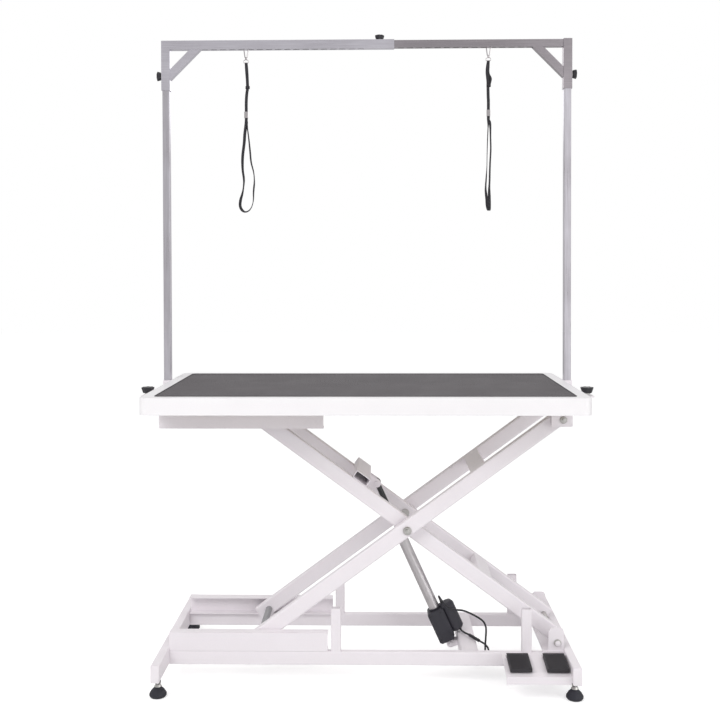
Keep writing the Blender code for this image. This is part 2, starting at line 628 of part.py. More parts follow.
# ---------------------------------------------------------------- table top
def build_table(white, edging, board, rubber):
    opening = (TABLE_LENGTH - 2 * RIM_WIDTH, TABLE_DEPTH - 2 * RIM_WIDTH)
    outer = box_points(TABLE_LENGTH, TABLE_DEPTH, TABLE_CORNER, 6)
    inner = box_points(*opening, MAT_CORNER, 4)
    rim = place("table_rim", prism([outer, inner], -BAND_HEIGHT, 0), edging, (0, 0, TABLE_TOP))
    edges = rim.modifiers.new("edges", "BEVEL")
    edges.width = 0.0025
    edges.segments = 2
    edges.limit_method = "ANGLE"
    edges.angle_limit = math.radians(50)
    fitted = box_points(opening[0] - 2 * GAP, opening[1] - 2 * GAP, MAT_CORNER, 4)
    place("rubber_mat", prism([fitted], -MAT_THICKNESS, 0), rubber, (0, 0, TABLE_TOP))
    panel_top = -MAT_THICKNESS - GAP
    panel = prism([fitted], panel_top - PANEL_THICKNESS, panel_top)
    panel = place("table_panel", panel, board, (0, 0, TABLE_TOP))
    half = opening[1] / 2 - 0.010
    battens = [block((post_x - BATTEN_WIDTH / 2, -half, -BAND_HEIGHT),
                     (post_x + BATTEN_WIDTH / 2, half, panel_top - PANEL_THICKNESS + 0.001))
               for post_x in REST_POST_X]
    combine(panel, "UNION", battens)
    floor = TABLE_PIVOT_Z + 0.0016 - TRACK_HEIGHT / 2
    build_track("table_track", TABLE_TRACK_X, floor, white, PANEL_UNDER - GAP)
    build_table_bracket(white)


def build_table_bracket(white):
    """A plate under the panel with a lug at each end that carries the outer arms' pivot."""
    high = PANEL_UNDER - GAP - TABLE_PIVOT_Z
    near = TABLE_LENGTH / 2 - RIM_WIDTH - GAP - TABLE_PIVOT.x
    far, wide, low = -0.034, near + 0.011, -0.0205
    plate = block((far, -RAIL_OUT, high - 0.004), (near, RAIL_OUT, high))
    bracket = place("table_pivot_bracket", plate, white, TABLE_PIVOT)
    under_rim = BATTEN_UNDER - 0.001 - TABLE_PIVOT_Z
    outline = [(far, high - 0.003), (far, low + 0.003), (far + 0.003, low), (wide - 0.003, low)]
    outline += [(wide, low + 0.003), (wide, under_rim), (near, under_rim), (near, high - 0.003)]
    combine(bracket, "UNION", pivot_lugs(outline))


# ---------------------------------------------------------------- arch
def build_clamp(side, name, white, black):
    """A plate under the rim, an ear for the knob's stud and a square socket for the post."""
    end = TABLE_LENGTH / 2
    socket_in = POST_SIDE + 2 * PIN_GAP
    plate_top = TABLE_TOP - BAND_HEIGHT - GAP
    plate_low = plate_top - 0.005
    half_socket = socket_in / 2 + 0.0025
    inward, outward = end - 0.022, CLAMP_KNOB_X + 0.020
    low_y, high_y = CLAMP_KNOB_Y - 0.018, POST_Y + half_socket
    low_x, high_x = sorted((side * inward, side * outward))
    plate = block((low_x, low_y, plate_low), (high_x, high_y, plate_top))
    clamp = place(f"arch_clamp_{name}", plate, white)
    socket_top = TABLE_TOP - 0.004
    middle = (side * POST_X, POST_Y)
    outer = [(x + middle[0], y + middle[1]) for x, y in box_points(2 * half_socket, 2 * half_socket)]
    combine(clamp, "UNION", [prism([outer], plate_low, socket_top)])
    hole = [(x + middle[0], y + middle[1]) for x, y in box_points(socket_in, socket_in)]
    stud_hole = cylinder(0.004 + PIN_GAP, plate_low - 0.02, plate_top + 0.02, "Z", 16)
    stud_hole.transform(Matrix.Translation((side * CLAMP_KNOB_X, CLAMP_KNOB_Y, 0)))
    combine(clamp, "DIFFERENCE", [prism([hole], plate_low - 0.02, socket_top + 0.02), stud_hole])
    stud = 0.004
    base = plate_top + 0.001 - CLAMP_KNOB_TOP
    stud_low = plate_low - CLAMP_KNOB_TOP - 0.010
    profile = [(0, stud_low), (stud, stud_low), (stud, base)]
    profile += [(0.009, base), (0.010, -0.019), (0.0165, -0.017), (CLAMP_KNOB_RADIUS, -0.004)]
    profile += [(CLAMP_KNOB_RADIUS - 0.003, 0), (0, 0)]
    at = (side * CLAMP_KNOB_X, CLAMP_KNOB_Y, CLAMP_KNOB_TOP)
    place(f"clamp_knob_{name}", turned(profile, "Z", 24), black, at)


def build_arch_half(side, name, steel):
    """A corner sleeve, its brace and its half of the bar."""
    sleeve = [box_points(SLEEVE_SIDE, SLEEVE_SIDE), box_points(SLEEVE_INNER, SLEEVE_INNER)]
    solid_top = ARCH_TOP - SLEEVE_SIDE + 0.0005
    half = place(f"arch_{name}", prism(sleeve, SLEEVE_BOTTOM, solid_top), steel, (side * POST_X, POST_Y, 0))
    bar_z, size, slots = BAR_AXIS_Z, BAR_SIZE[name], SLOTS[name]
    reach = POST_X + (ARM_TUBE_END if side < 0 else -INNER_TUBE_START)
    bore = size - 2 * SLEEVE_WALL
    bar = prism([box_points(size, size), box_points(bore, bore)], -SLEEVE_SIDE / 2 + 0.001, reach, "YZX")
    half_side = SLEEVE_SIDE / 2
    cap = block((-half_side, -half_side, solid_top - 0.002), (half_side, half_side, ARCH_TOP))
    under = bar_z - size / 2
    outline = [(half_side - 0.001, under + 0.001 - BRACE_LEG), (half_side - 0.001 + BRACE_LEG, under + 0.001)]
    inner_leg = BRACE_LEG - BRACE_SIDE * math.sqrt(2)
    outline += [(half_side - 0.001 + inner_leg, under + 0.001)]
    outline += [(half_side - 0.001, under + 0.001 - inner_leg)]
    brace = prism([outline], -BRACE_SIDE / 2, BRACE_SIDE / 2, "XZY")
    bar.transform(Matrix.Translation((0, 0, bar_z)))
    meshes = [cap, bar, brace]
    if side > 0:
        for mesh in meshes:
            mesh.transform(Matrix.Scale(-1, 4, (1, 0, 0)))
            mesh.flip_normals()
    combine(half, "UNION", meshes)
    count = int((slots[1] - slots[0]) / SLOT_PITCH)
    for index in range(count + 1):
        middle = slots[0] + index * SLOT_PITCH
        low = (middle - SLOT_LENGTH / 2, POST_Y - SLOT_WIDTH / 2, under - 0.004)
        high = (middle + SLOT_LENGTH / 2, POST_Y + SLOT_WIDTH / 2, under + SLEEVE_WALL + 0.004)
        combine(half, "DIFFERENCE", [block(low, high)], at=(0, 0, 0))
    return half


def knob_mesh(stem, axis, way):
    """A round knob on a stem, seated at the origin and standing out along the axis."""
    neck = 0.003
    profile = [(0, -stem), (0.003, -stem), (0.003, GAP), (0.006, GAP), (0.0065, neck), (0.012, neck + 0.001)]
    profile += [(KNOB_RADIUS, neck + 0.004), (KNOB_RADIUS, neck + KNOB_THICKNESS - 0.002)]
    profile += [(KNOB_RADIUS - 0.002, neck + KNOB_THICKNESS), (0, neck + KNOB_THICKNESS)]
    if way < 0:
        profile = [(radius, -height) for radius, height in reversed(profile)]
    return turned(profile, axis, 20)


def build_arch(steel, black, white):
    for side, name in ((-1, "left"), (1, "right")):
        build_clamp(side, name, white, black)
        wall = 0.0015
        bore = POST_SIDE - 2 * wall
        tube = [box_points(POST_SIDE, POST_SIDE, 0.0015, 1), box_points(bore, bore)]
        place(f"post_{name}", prism(tube, POST_BOTTOM, POST_TOP), steel, (side * POST_X, POST_Y, 0))
        half = build_arch_half(side, name, steel)
        hole = cylinder(0.003 + PIN_GAP, *sorted((0, side * SLEEVE_SIDE)), "X", 12)
        combine(half, "DIFFERENCE", [hole], at=(side * POST_X, POST_Y, HEIGHT_KNOB_Z))
        at = (side * (POST_X + SLEEVE_SIDE / 2), POST_Y, HEIGHT_KNOB_Z)
        stem = SLEEVE_WALL - 0.0002
        place(f"height_knob_{name}", knob_mesh(stem, "X", side), black, at)
        if side < 0:
            hole = cylinder(0.003 + PIN_GAP, 0, SLEEVE_SIDE, "Z", 12)
            combine(half, "DIFFERENCE", [hole], at=(WIDTH_KNOB_X, POST_Y, BAR_AXIS_Z))
            place("width_knob", knob_mesh(stem, "Z", 1), black, (WIDTH_KNOB_X, POST_Y, ARCH_TOP))


# ---------------------------------------------------------------- grooming loops
def smooth_path(points, per_span, closed=False):
    """Points along a Catmull-Rom curve through the given ones."""
    known = [Vector(point) for point in points]
    if closed:
        known = known[-1:] + known + known[:2]
    else:
        known = [2 * known[0] - known[1]] + known + [2 * known[-1] - known[-2]]
    path = []
    for before, start, end, after in zip(known, known[1:], known[2:], known[3:]):
        for step in range(per_span):
            t = step / per_span
            path.append(0.5 * (2 * start + (end - before) * t
                               + (2 * before - 5 * start + 4 * end - after) * t * t
                               + (3 * start - before - 3 * end + after) * t ** 3))
    return path if closed else path + [known[-2]]


def swept(path, across, section, closed=False):
    """Sweeps a section of (across, out) points along a path; across may differ from point to point."""
    if isinstance(across, Vector):
        across = [across] * len(path)
    shape = bmesh.new()
    rings = []
    for index, (point, side) in enumerate(zip(path, across)):
        before = path[index - 1] if closed or index else point
        after = path[(index + 1) % len(path)] if closed or index + 1 < len(path) else point
        out = side.cross(after - before).normalized()
        rings.append([shape.verts.new(point + side * a + out * b) for a, b in section])
    pairs = list(zip(rings, rings[1:]))
    if closed:
        pairs.append((rings[-1], rings[0]))
    else:
        shape.faces.new(rings[0])
        shape.faces.new(rings[-1])
    for lower, upper in pairs:
        for index in range(len(section)):
            after = (index + 1) % len(section)
            shape.faces.new((lower[index], lower[after], upper[after], upper[index]))
    return mesh_from(shape, "swept")


def build_loop(name, nylon, steel):
    """A snap hook over the metal between two slots, and the strap that hangs from its eye."""
    first, _ = SLOTS[name]
    slots_z = BAR_AXIS_Z - BAR_SIZE[name] / 2 + SLEEVE_WALL / 2
    top = Vector((first + (HOOK_SLOTS[name] + 0.5) * SLOT_PITCH, POST_Y, slots_z))
    build_hook(name, top, steel)
    build_strap(name, top, nylon, steel)


def build_hook(name, top, steel):
    """Drawn round the place where it hangs, in the plane of the bar."""
    depth = Vector((0, 1, 0))
    ring = [Vector((HOOK_RING * math.cos(math.radians(turn)), 0, HOOK_RING * math.sin(math.radians(turn))))
            for turn in range(-30, 211, 20)]
    ring += [Vector((-0.0035, 0, -HOOK_TIP)), Vector((0.0035, 0, -HOOK_TIP))]
    hook = place(f"hook_{name}", swept(ring, depth, circle_points(HOOK_WIRE, 8), True), steel, top)
    swivel = cylinder(SWIVEL_RADIUS, -HOOK_TIP - SWIVEL_LENGTH, -HOOK_TIP + 0.001, "Z", 16)
    shoulder = -HOOK_TIP - SWIVEL_LENGTH - 0.0006
    eye = [Vector((0.003, 0, shoulder)), Vector((EYE_HALF_WIDTH, 0, shoulder - 0.003))]
    eye += [Vector((EYE_HALF_WIDTH, 0, -EYE_DROP)), Vector((-EYE_HALF_WIDTH, 0, -EYE_DROP))]
    eye += [Vector((-EYE_HALF_WIDTH, 0, shoulder - 0.003)), Vector((-0.003, 0, shoulder))]
    combine(hook, "UNION", [swivel, swept(eye, depth, circle_points(EYE_WIRE, 8), True)])


def build_strap(name, top, nylon, steel):
    """A folded strap from the hook's eye through a metal slide, ending in a noose."""
    eye = top - Vector((0, 0, EYE_DROP))
    plane = Vector((1, 0, 0)) if name == "left" else Vector((0, 1, 0))
    across = plane.cross(Vector((0, 0, 1)))
    noose = [plane * side + Vector((0, 0, EYE_DROP - below)) for side, below in NOOSE]
    flat = box_points(STRAP_WIDTH, STRAP_THICKNESS)
    strap = place(f"strap_{name}", swept(smooth_path(noose, 3, True), across, flat, True), nylon, eye)
    knot_high = EYE_DROP - SLIDE_DROP - SLIDE_LENGTH
    knot_low = EYE_DROP - NOOSE[0][1] - 0.004
    stem_low = (knot_low + knot_high) / 2
    stem = block((-STRAP_WIDTH / 2, -STEM_THICKNESS / 2, stem_low), (STRAP_WIDTH / 2, STEM_THICKNESS / 2, 0))
    half = STRAP_WIDTH / 2 + 0.0002
    knot = block((-half, -half, knot_low), (half, half, knot_high))
    end = cylinder(STRAP_END_RADIUS, -STRAP_WIDTH / 2, STRAP_WIDTH / 2, "X", 20)
    combine(strap, "UNION", [stem, end, knot])
    combine(strap, "DIFFERENCE", [cylinder(EYE_WIRE + PIN_GAP, -STRAP_WIDTH, STRAP_WIDTH, "X", 16)])
    inner = [(STRAP_WIDTH + 2 * GAP, STEM_THICKNESS + 2 * GAP)]
    inner.append(tuple(size + 2 * SLIDE_WALL for size in inner[0]))
    ring = [box_points(*inner[1], 0.001, 2), box_points(*inner[0])]
    place(f"strap_slide_{name}", prism(ring, -SLIDE_LENGTH + GAP, 0), steel, top - Vector((0, 0, SLIDE_DROP)))


# ---------------------------------------------------------------- pedals and controls
def build_pedals(white, black):
    plate_z = PLATE_TOP
    back, front = -PLATE_BACK, -PLATE_BACK - PLATE_REACH
    low = plate_z - PLATE_DROP
    outline = [(back, plate_z), (front, low), (front, low - PLATE_LIP), (front + PLATE_WALL, low - PLATE_LIP)]
    outline += [(front + PLATE_WALL, low - PLATE_WALL), (back - PLATE_WALL, plate_z - PLATE_WALL)]
    outline += [(back - PLATE_WALL, BASE_CLEAR + 0.006), (back, BASE_CLEAR + 0.006)]
    ends = (PEDAL_PLATE_START, BEAM_INNER - GAP)
    plate = place("pedal_plate", prism([outline], *ends, "YZX"), white)
    turn = (PLATE_SLOPE, 0, 0)
    along = Vector((0, math.cos(PLATE_SLOPE), math.sin(PLATE_SLOPE)))
    up = Vector((0, -math.sin(PLATE_SLOPE), math.cos(PLATE_SLOPE)))
    for pedal_x, name in zip(PEDAL_X, ("left", "right")):
        hinge = Vector((pedal_x, back, plate_z)) - along * PEDAL_HINGE_BACK + up * PEDAL_HINGE_HEIGHT
        half = PEDAL_WIDTH / 2
        sag = PEDAL_LENGTH * math.tan(PEDAL_TRAVEL)
        rear, tip = 0.0055, 0.0055 - PEDAL_LENGTH
        under = 0.0007 - PEDAL_HINGE_HEIGHT
        outline = [(rear, under), (rear, PEDAL_TOP_REAR), (tip, PEDAL_TOP_FRONT), (tip, under + sag)]
        pedal = place(f"pedal_{name}", prism([outline], -half, half, "YZX"), black, hinge, turn)
        pin_end = half + GAP + HINGE_EAR
        combine(pedal, "UNION", [cylinder(0.0018, -pin_end, pin_end, "X", 12)])
        ears = []
        for way in (-1, 1):
            low_x, high_x = sorted((way * (half + GAP), way * (half + GAP + HINGE_EAR)))
            ears.append(block((low_x, -0.0045, -PEDAL_HINGE_HEIGHT - 0.0015), (high_x, 0.0045, 0.0042)))
        combine(plate, "UNION", ears, hinge, turn)
        bore = cylinder(0.0018 + PIN_GAP, -pin_end - 0.004, pin_end + 0.004, "X", 12)
        combine(plate, "DIFFERENCE", [bore], hinge, turn)


def cable(name, points, radius, finish):
    """A free cable as a round curve through points two or three diameters apart."""
    curve = bpy.data.curves.new(name, "CURVE")
    curve.dimensions = "3D"
    curve.bevel_depth = radius
    curve.bevel_resolution = 2
    curve.use_fill_caps = True
    spline = curve.splines.new("POLY")
    path = smooth_path(points, 2)
    spline.points.add(len(path) - 1)
    for target, point in zip(spline.points, path):
        target.co = (*point, 1)
    made = bpy.data.objects.new(name, curve)
    bpy.context.scene.collection.objects.link(made)
    curve.materials.append(finish)


def build_controls(black):
    inside = -RAIL_IN + GAP
    low = (CONTROL_BOX_X[0], inside, CONTROL_BOX_Z[0])
    high = (CONTROL_BOX_X[1], inside + CONTROL_BOX_DEPTH, CONTROL_BOX_Z[1])
    place("control_box", block(low, high), black)
    cable("motor_cable", MOTOR_CABLE, CABLE_RADIUS, black)
    cable("control_cable", CONTROL_CABLE, CABLE_RADIUS, black)
    cable("control_lead", CONTROL_LEAD, CABLE_RADIUS, black)
    start, end = Vector(CONTROL_CABLE[-1]), Vector(CONNECTOR_END)
    run = end - start
    body = cylinder(CONNECTOR_RADIUS, 2 * GAP, run.length - GAP, "Z", 16)
    turn = run.to_track_quat("Z", "Y").to_euler()
    place("cable_connector", body, black, start, turn)


def main():
    for old in list(bpy.data.objects):
        bpy.data.objects.remove(old)
    white = material("white_powder_coat", (0.86, 0.85, 0.86), 0.38)
    steel = material("brushed_steel", (0.62, 0.61, 0.60), 0.28, 1.0)
    aluminium = material("aluminium_tube", (0.72, 0.72, 0.73), 0.32, 1.0)
    black = material("black_plastic", (0.03, 0.03, 0.033), 0.5)
    grey = material("roller_nylon", (0.32, 0.32, 0.33), 0.45)
    rubber = material("ribbed_rubber", (0.20, 0.19, 0.20), 0.75)
    board = material("board_underside", (0.70, 0.66, 0.60), 0.6)
    nylon = material("black_webbing", (0.02, 0.02, 0.022), 0.8)
    edging = material("white_edging", (0.87, 0.86, 0.87), 0.3)
    build_base(white)
    build_feet(black)
    build_pedals(white, black)
    build_controls(black)
    build_arms(white)
    build_cross_tubes(white)
    build_pivots(steel, grey)
    build_actuator(black, steel, aluminium)
    build_table(white, edging, board, rubber)
    build_arch(steel, black, white)
    for name in SLOTS:
        build_loop(name, nylon, steel)


main()
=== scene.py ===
"""Looks for the electric lift grooming table: finishes, trim, webbing and cables around the frame."""

import json
import math

import bmesh
import bpy
from mathutils import Matrix, Vector


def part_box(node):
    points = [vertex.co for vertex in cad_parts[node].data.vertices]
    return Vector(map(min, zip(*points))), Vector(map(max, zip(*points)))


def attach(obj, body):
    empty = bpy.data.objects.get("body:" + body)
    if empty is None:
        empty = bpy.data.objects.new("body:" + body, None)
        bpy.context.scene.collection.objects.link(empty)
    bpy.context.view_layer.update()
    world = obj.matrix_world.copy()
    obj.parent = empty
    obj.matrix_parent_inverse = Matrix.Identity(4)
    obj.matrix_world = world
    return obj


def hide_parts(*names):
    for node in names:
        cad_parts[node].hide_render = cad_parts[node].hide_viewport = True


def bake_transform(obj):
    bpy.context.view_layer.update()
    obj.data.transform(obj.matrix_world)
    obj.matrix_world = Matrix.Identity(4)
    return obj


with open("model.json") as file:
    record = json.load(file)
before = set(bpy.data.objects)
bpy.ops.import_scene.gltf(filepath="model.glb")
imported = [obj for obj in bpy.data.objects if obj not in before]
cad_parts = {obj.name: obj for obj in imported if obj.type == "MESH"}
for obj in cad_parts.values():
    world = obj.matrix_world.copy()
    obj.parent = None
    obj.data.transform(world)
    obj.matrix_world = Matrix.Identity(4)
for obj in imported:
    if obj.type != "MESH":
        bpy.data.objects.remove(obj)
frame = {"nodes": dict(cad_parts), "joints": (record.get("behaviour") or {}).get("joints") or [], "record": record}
NODES = frame["nodes"]
JOINTS = {joint["name"]: joint for joint in frame["joints"]}
SLOT_OF = {entry["node"]: entry["material_slot"] for entry in frame["record"]["subparts"]}
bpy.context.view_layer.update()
SIDES = ((-1, "left"), (1, "right"))
ENDS = ((-1, "front"), (1, "rear"))


def joint_at(name):
    return Vector(JOINTS[name]["pos_m"])


# ---------------------------------------------------------------- studio
SKY_LIGHT = 0.62
FLOOR_GLOW = 0.5
LAMPS_LOOK_AT = Vector((0, 0, 0.8))
# name, place, size and power
LAMPS = (("key", (-1.9, -2.6, 3.2), 2.2, 72),
         ("fill", (2.8, -2.4, 1.4), 2.6, 34),
         ("back", (0.4, 2.6, 3.0), 2.4, 20))
CAMERA_PLACE = (0.0392, -2.9736, 1.2177)
CAMERA_YAW, CAMERA_PITCH, CAMERA_ROLL = 0.0192, 0.018, -0.0023
CAMERA_LENS, CAMERA_SHIFT = 48.5, -0.1062


def brighter_to_camera(tree, socket, otherwise, seen):
    """Drives a strength with one value for camera rays and another for all other rays."""
    ray = tree.nodes.new("ShaderNodeLightPath")
    level = tree.nodes.new("ShaderNodeMapRange")
    level.inputs["To Min"].default_value = otherwise
    level.inputs["To Max"].default_value = seen
    tree.links.new(ray.outputs["Is Camera Ray"], level.inputs["Value"])
    tree.links.new(level.outputs["Result"], socket)


def set_studio():
    scene = bpy.context.scene
    scene.view_settings.view_transform = "Standard"
    scene.world = bpy.data.worlds.new("studio")
    scene.world.use_nodes = True
    sky = scene.world.node_tree.nodes["Background"]
    sky.inputs["Color"].default_value = (1, 1, 1, 1)
    brighter_to_camera(scene.world.node_tree, sky.inputs["Strength"], SKY_LIGHT, 1.0)
    bpy.ops.mesh.primitive_plane_add(size=30, location=(0, 0, -0.001))
    floor = bpy.context.object
    floor.name = "floor"
    white = bpy.data.materials.new("floor_white")
    white.use_nodes = True
    shader = white.node_tree.nodes["Principled BSDF"]
    shader.inputs["Base Color"].default_value = (0.80, 0.80, 0.80, 1)
    shader.inputs["Roughness"].default_value = 0.9
    shader.inputs["Emission Color"].default_value = (1, 1, 1, 1)
    brighter_to_camera(white.node_tree, shader.inputs["Emission Strength"], 0.0, FLOOR_GLOW)
    floor.data.materials.append(white)
    for name, place, size, power in LAMPS:
        lamp = bpy.data.lights.new(name, "AREA")
        lamp.size = size
        lamp.energy = power
        made = bpy.data.objects.new(name, lamp)
        scene.collection.objects.link(made)
        made.location = place
        made.rotation_euler = (LAMPS_LOOK_AT - Vector(place)).to_track_quat("-Z", "Y").to_euler()
        made.visible_glossy = name != "key"


def set_camera():
    data = bpy.data.cameras.new("camera")
    camera = bpy.data.objects.new("camera", data)
    bpy.context.scene.collection.objects.link(camera)
    camera.matrix_world = (Matrix.Translation(CAMERA_PLACE) @ Matrix.Rotation(CAMERA_YAW, 4, "Z")
                           @ Matrix.Rotation(math.pi / 2 - CAMERA_PITCH, 4, "X")
                           @ Matrix.Rotation(CAMERA_ROLL, 4, "Z"))
    data.sensor_width = 36
    data.lens = CAMERA_LENS
    data.shift_y = CAMERA_SHIFT
    bpy.context.scene.camera = camera


# ---------------------------------------------------------------- finishes
def node_group(name, inputs, outputs):
    """An empty shader group with named sockets, and its input and output nodes."""
    group = bpy.data.node_groups.new(name, "ShaderNodeTree")
    for label, kind, value in inputs:
        socket = group.interface.new_socket(label, in_out="INPUT", socket_type=kind)
        socket.default_value = value
    for label, kind in outputs:
        group.interface.new_socket(label, in_out="OUTPUT", socket_type=kind)
    start = group.nodes.new("NodeGroupInput")
    end = group.nodes.new("NodeGroupOutput")
    return group, start, end


def noise(group, vector, scale, detail, stretch=None):
    links, nodes = group.links, group.nodes
    if stretch is not None:
        mapping = nodes.new("ShaderNodeVectorMath")
        mapping.operation = "MULTIPLY"
        links.new(vector, mapping.inputs[0])
        links.new(stretch, mapping.inputs[1])
        vector = mapping.outputs[0]
    texture = nodes.new("ShaderNodeTexNoise")
    texture.inputs["Detail"].default_value = detail
    links.new(vector, texture.inputs["Vector"])
    if isinstance(scale, (int, float)):
        texture.inputs["Scale"].default_value = scale
    else:
        links.new(scale, texture.inputs["Scale"])
    return texture.outputs["Fac"]


def spread(group, value, low, high):
    """Maps the middle of a noise's range to low and high."""
    ranged = group.nodes.new("ShaderNodeMapRange")
    ranged.inputs["From Min"].default_value = 0.3
    ranged.inputs["From Max"].default_value = 0.7
    group.links.new(value, ranged.inputs["Value"])
    for socket, end in (("To Min", low), ("To Max", high)):
        if isinstance(end, (int, float)):
            ranged.inputs[socket].default_value = end
        else:
            group.links.new(end, ranged.inputs[socket])
    return ranged.outputs["Result"]


def tinted(group, mask, first, second):
    mix = group.nodes.new("ShaderNodeMix")
    mix.data_type = "RGBA"
    group.links.new(mask, mix.inputs[0])
    group.links.new(first, mix.inputs[6])
    group.links.new(second, mix.inputs[7])
    return mix.outputs[2]


def give_outputs(group, start, end, mask, rough, normal):
    """Joins a surface's colour, roughness and normal to its group's output."""
    colour = tinted(group, mask, start.outputs["Shade"], start.outputs["Colour"])
    for label, value in (("Colour", colour), ("Roughness", rough), ("Normal", normal)):
        group.links.new(value, end.inputs[label])


def bumped(group, height, strength, distance):
    bump = group.nodes.new("ShaderNodeBump")
    bump.inputs["Distance"].default_value = distance
    group.links.new(height, bump.inputs["Height"])
    group.links.new(strength, bump.inputs["Strength"])
    return bump.outputs["Normal"]


SURFACE = [("Colour", "NodeSocketColor", (1, 1, 1, 1)), ("Shade", "NodeSocketColor", (0.8, 0.8, 0.8, 1)),
           ("Smoothest", "NodeSocketFloat", 0.3), ("Roughest", "NodeSocketFloat", 0.5),
           ("Scale", "NodeSocketFloat", 400.0), ("Relief", "NodeSocketFloat", 0.2),
           ("Stretch", "NodeSocketVector", (1, 1, 1))]
RIB_DEPTH, WEAVE_DEPTH = 0.0006, 0.0004
TWILL_ANGLE = 0.9
RESULT = [("Colour", "NodeSocketColor"), ("Roughness", "NodeSocketFloat"), ("Normal", "NodeSocketVector")]


def grain_group(name, relief_depth, patches):
    """Fine grain with slow patches of tone and gloss, as on paint, mouldings and drawn metal."""
    group, start, end = node_group(name, SURFACE, RESULT)
    place = group.nodes.new("ShaderNodeTexCoord").outputs["Object"]
    fine = noise(group, place, start.outputs["Scale"], 4, start.outputs["Stretch"])
    slow = noise(group, place, patches, 3)
    both = group.nodes.new("ShaderNodeMath")
    both.operation = "MULTIPLY_ADD"
    both.inputs[1].default_value = 0.5
    group.links.new(fine, both.inputs[0])
    half = group.nodes.new("ShaderNodeMath")
    half.operation = "MULTIPLY"
    half.inputs[1].default_value = 0.5
    group.links.new(slow, half.inputs[0])
    group.links.new(half.outputs[0], both.inputs[2])
    mask = spread(group, both.outputs[0], 0.0, 1.0)
    rough = spread(group, both.outputs[0], start.outputs["Smoothest"], start.outputs["Roughest"])
    normal = bumped(group, fine, start.outputs["Relief"], relief_depth)
    give_outputs(group, start, end, mask, rough, normal)
    return group


def rib_group():
    """Fine ribs along the table's length, with slow patches of wear between them."""
    group, start, end = node_group("matting_ribs", SURFACE, RESULT)
    place = group.nodes.new("ShaderNodeTexCoord").outputs["Object"]
    wave = group.nodes.new("ShaderNodeTexWave")
    wave.bands_direction = "Y"
    wave.inputs["Distortion"].default_value = 0.0
    group.links.new(place, wave.inputs["Vector"])
    group.links.new(start.outputs["Scale"], wave.inputs["Scale"])
    slow = noise(group, place, 9.0, 3)
    blend = group.nodes.new("ShaderNodeMix")
    blend.inputs[0].default_value = 0.45
    group.links.new(wave.outputs["Fac"], blend.inputs[2])
    group.links.new(slow, blend.inputs[3])
    rough = spread(group, slow, start.outputs["Smoothest"], start.outputs["Roughest"])
    normal = bumped(group, wave.outputs["Fac"], start.outputs["Relief"], RIB_DEPTH)
    give_outputs(group, start, end, blend.outputs[0], rough, normal)
    return group


def weave_group():
    """Diagonal twill of flat webbing on the piece's own UV map, in strap widths."""
    group, start, end = node_group("webbing_weave", SURFACE, RESULT)
    uv = group.nodes.new("ShaderNodeTexCoord").outputs["UV"]
    waves = []
    for turn in (TWILL_ANGLE, -TWILL_ANGLE):
        mapping = group.nodes.new("ShaderNodeMapping")
        mapping.inputs["Rotation"].default_value = (0, 0, turn)
        group.links.new(uv, mapping.inputs["Vector"])
        wave = group.nodes.new("ShaderNodeTexWave")
        wave.inputs["Distortion"].default_value = 0.6
        group.links.new(mapping.outputs[0], wave.inputs["Vector"])
        group.links.new(start.outputs["Scale"], wave.inputs["Scale"])
        waves.append(wave.outputs["Fac"])
    lifted = group.nodes.new("ShaderNodeMath")
    lifted.operation = "MAXIMUM"
    group.links.new(waves[0], lifted.inputs[0])
    group.links.new(waves[1], lifted.inputs[1])
    height = lifted.outputs[0]
    rough = spread(group, height, start.outputs["Roughest"], start.outputs["Smoothest"])
    normal = bumped(group, height, start.outputs["Relief"], WEAVE_DEPTH)
    give_outputs(group, start, end, height, rough, normal)
    return group


def finish(name, group, colour, shade, roughness, metallic=0.0, scale=400.0, relief=0.15, stretch=(1, 1, 1),
           coat=0.0):
    """A material whose colour, gloss and relief come from a group, with this finish's own values."""
    made = bpy.data.materials.new(name)
    made.use_nodes = True
    tree = made.node_tree
    shader = tree.nodes["Principled BSDF"]
    shader.inputs["Metallic"].default_value = metallic
    shader.inputs["Coat Weight"].default_value = coat
    detail = tree.nodes.new("ShaderNodeGroup")
    detail.node_tree = group
    detail.inputs["Colour"].default_value = (*colour, 1)
    detail.inputs["Shade"].default_value = (*shade, 1)
    detail.inputs["Smoothest"].default_value = roughness[0]
    detail.inputs["Roughest"].default_value = roughness[1]
    detail.inputs["Scale"].default_value = scale
    detail.inputs["Relief"].default_value = relief
    detail.inputs["Stretch"].default_value = stretch
    tree.links.new(detail.outputs["Colour"], shader.inputs["Base Color"])
    tree.links.new(detail.outputs["Roughness"], shader.inputs["Roughness"])
    tree.links.new(detail.outputs["Normal"], shader.inputs["Normal"])
    return made


PAINT = grain_group("orange_peel", 0.0003, 7.0)
MOULDED = grain_group("moulded_grain", 0.0004, 14.0)
DRAWN = grain_group("drawn_lines", 0.0002, 5.0)
WEAVE = weave_group()
RIBS = rib_group()

POWDER_COAT = finish("white_powder_coat_finish", PAINT, (0.88, 0.835, 0.87), (0.82, 0.775, 0.81),
                     (0.32, 0.46), scale=650, relief=0.12)
EDGING = finish("white_edging_finish", PAINT, (0.90, 0.88, 0.895), (0.86, 0.84, 0.855),
                (0.30, 0.42), scale=300, relief=0.05, coat=0.2)
STEEL_UP = finish("brushed_steel_upright", DRAWN, (0.76, 0.74, 0.80), (0.54, 0.51, 0.55), (0.24, 0.40), 1.0,
                  scale=500, relief=0.10, stretch=(1, 1, 0.02))
STEEL_ALONG = finish("brushed_steel_along", DRAWN, (0.84, 0.82, 0.89), (0.60, 0.57, 0.63), (0.24, 0.40), 1.0,
                     scale=500, relief=0.10, stretch=(0.02, 1, 1))
# the right arch's steel is the left arch's steel made darker, as painted shade
STEEL_ALONG_SHADED = finish("brushed_steel_along_painted_shade", DRAWN, (0.50, 0.46, 0.49), (0.36, 0.33, 0.355),
                     (0.26, 0.42), 1.0, scale=500, relief=0.12, stretch=(0.02, 1, 1))
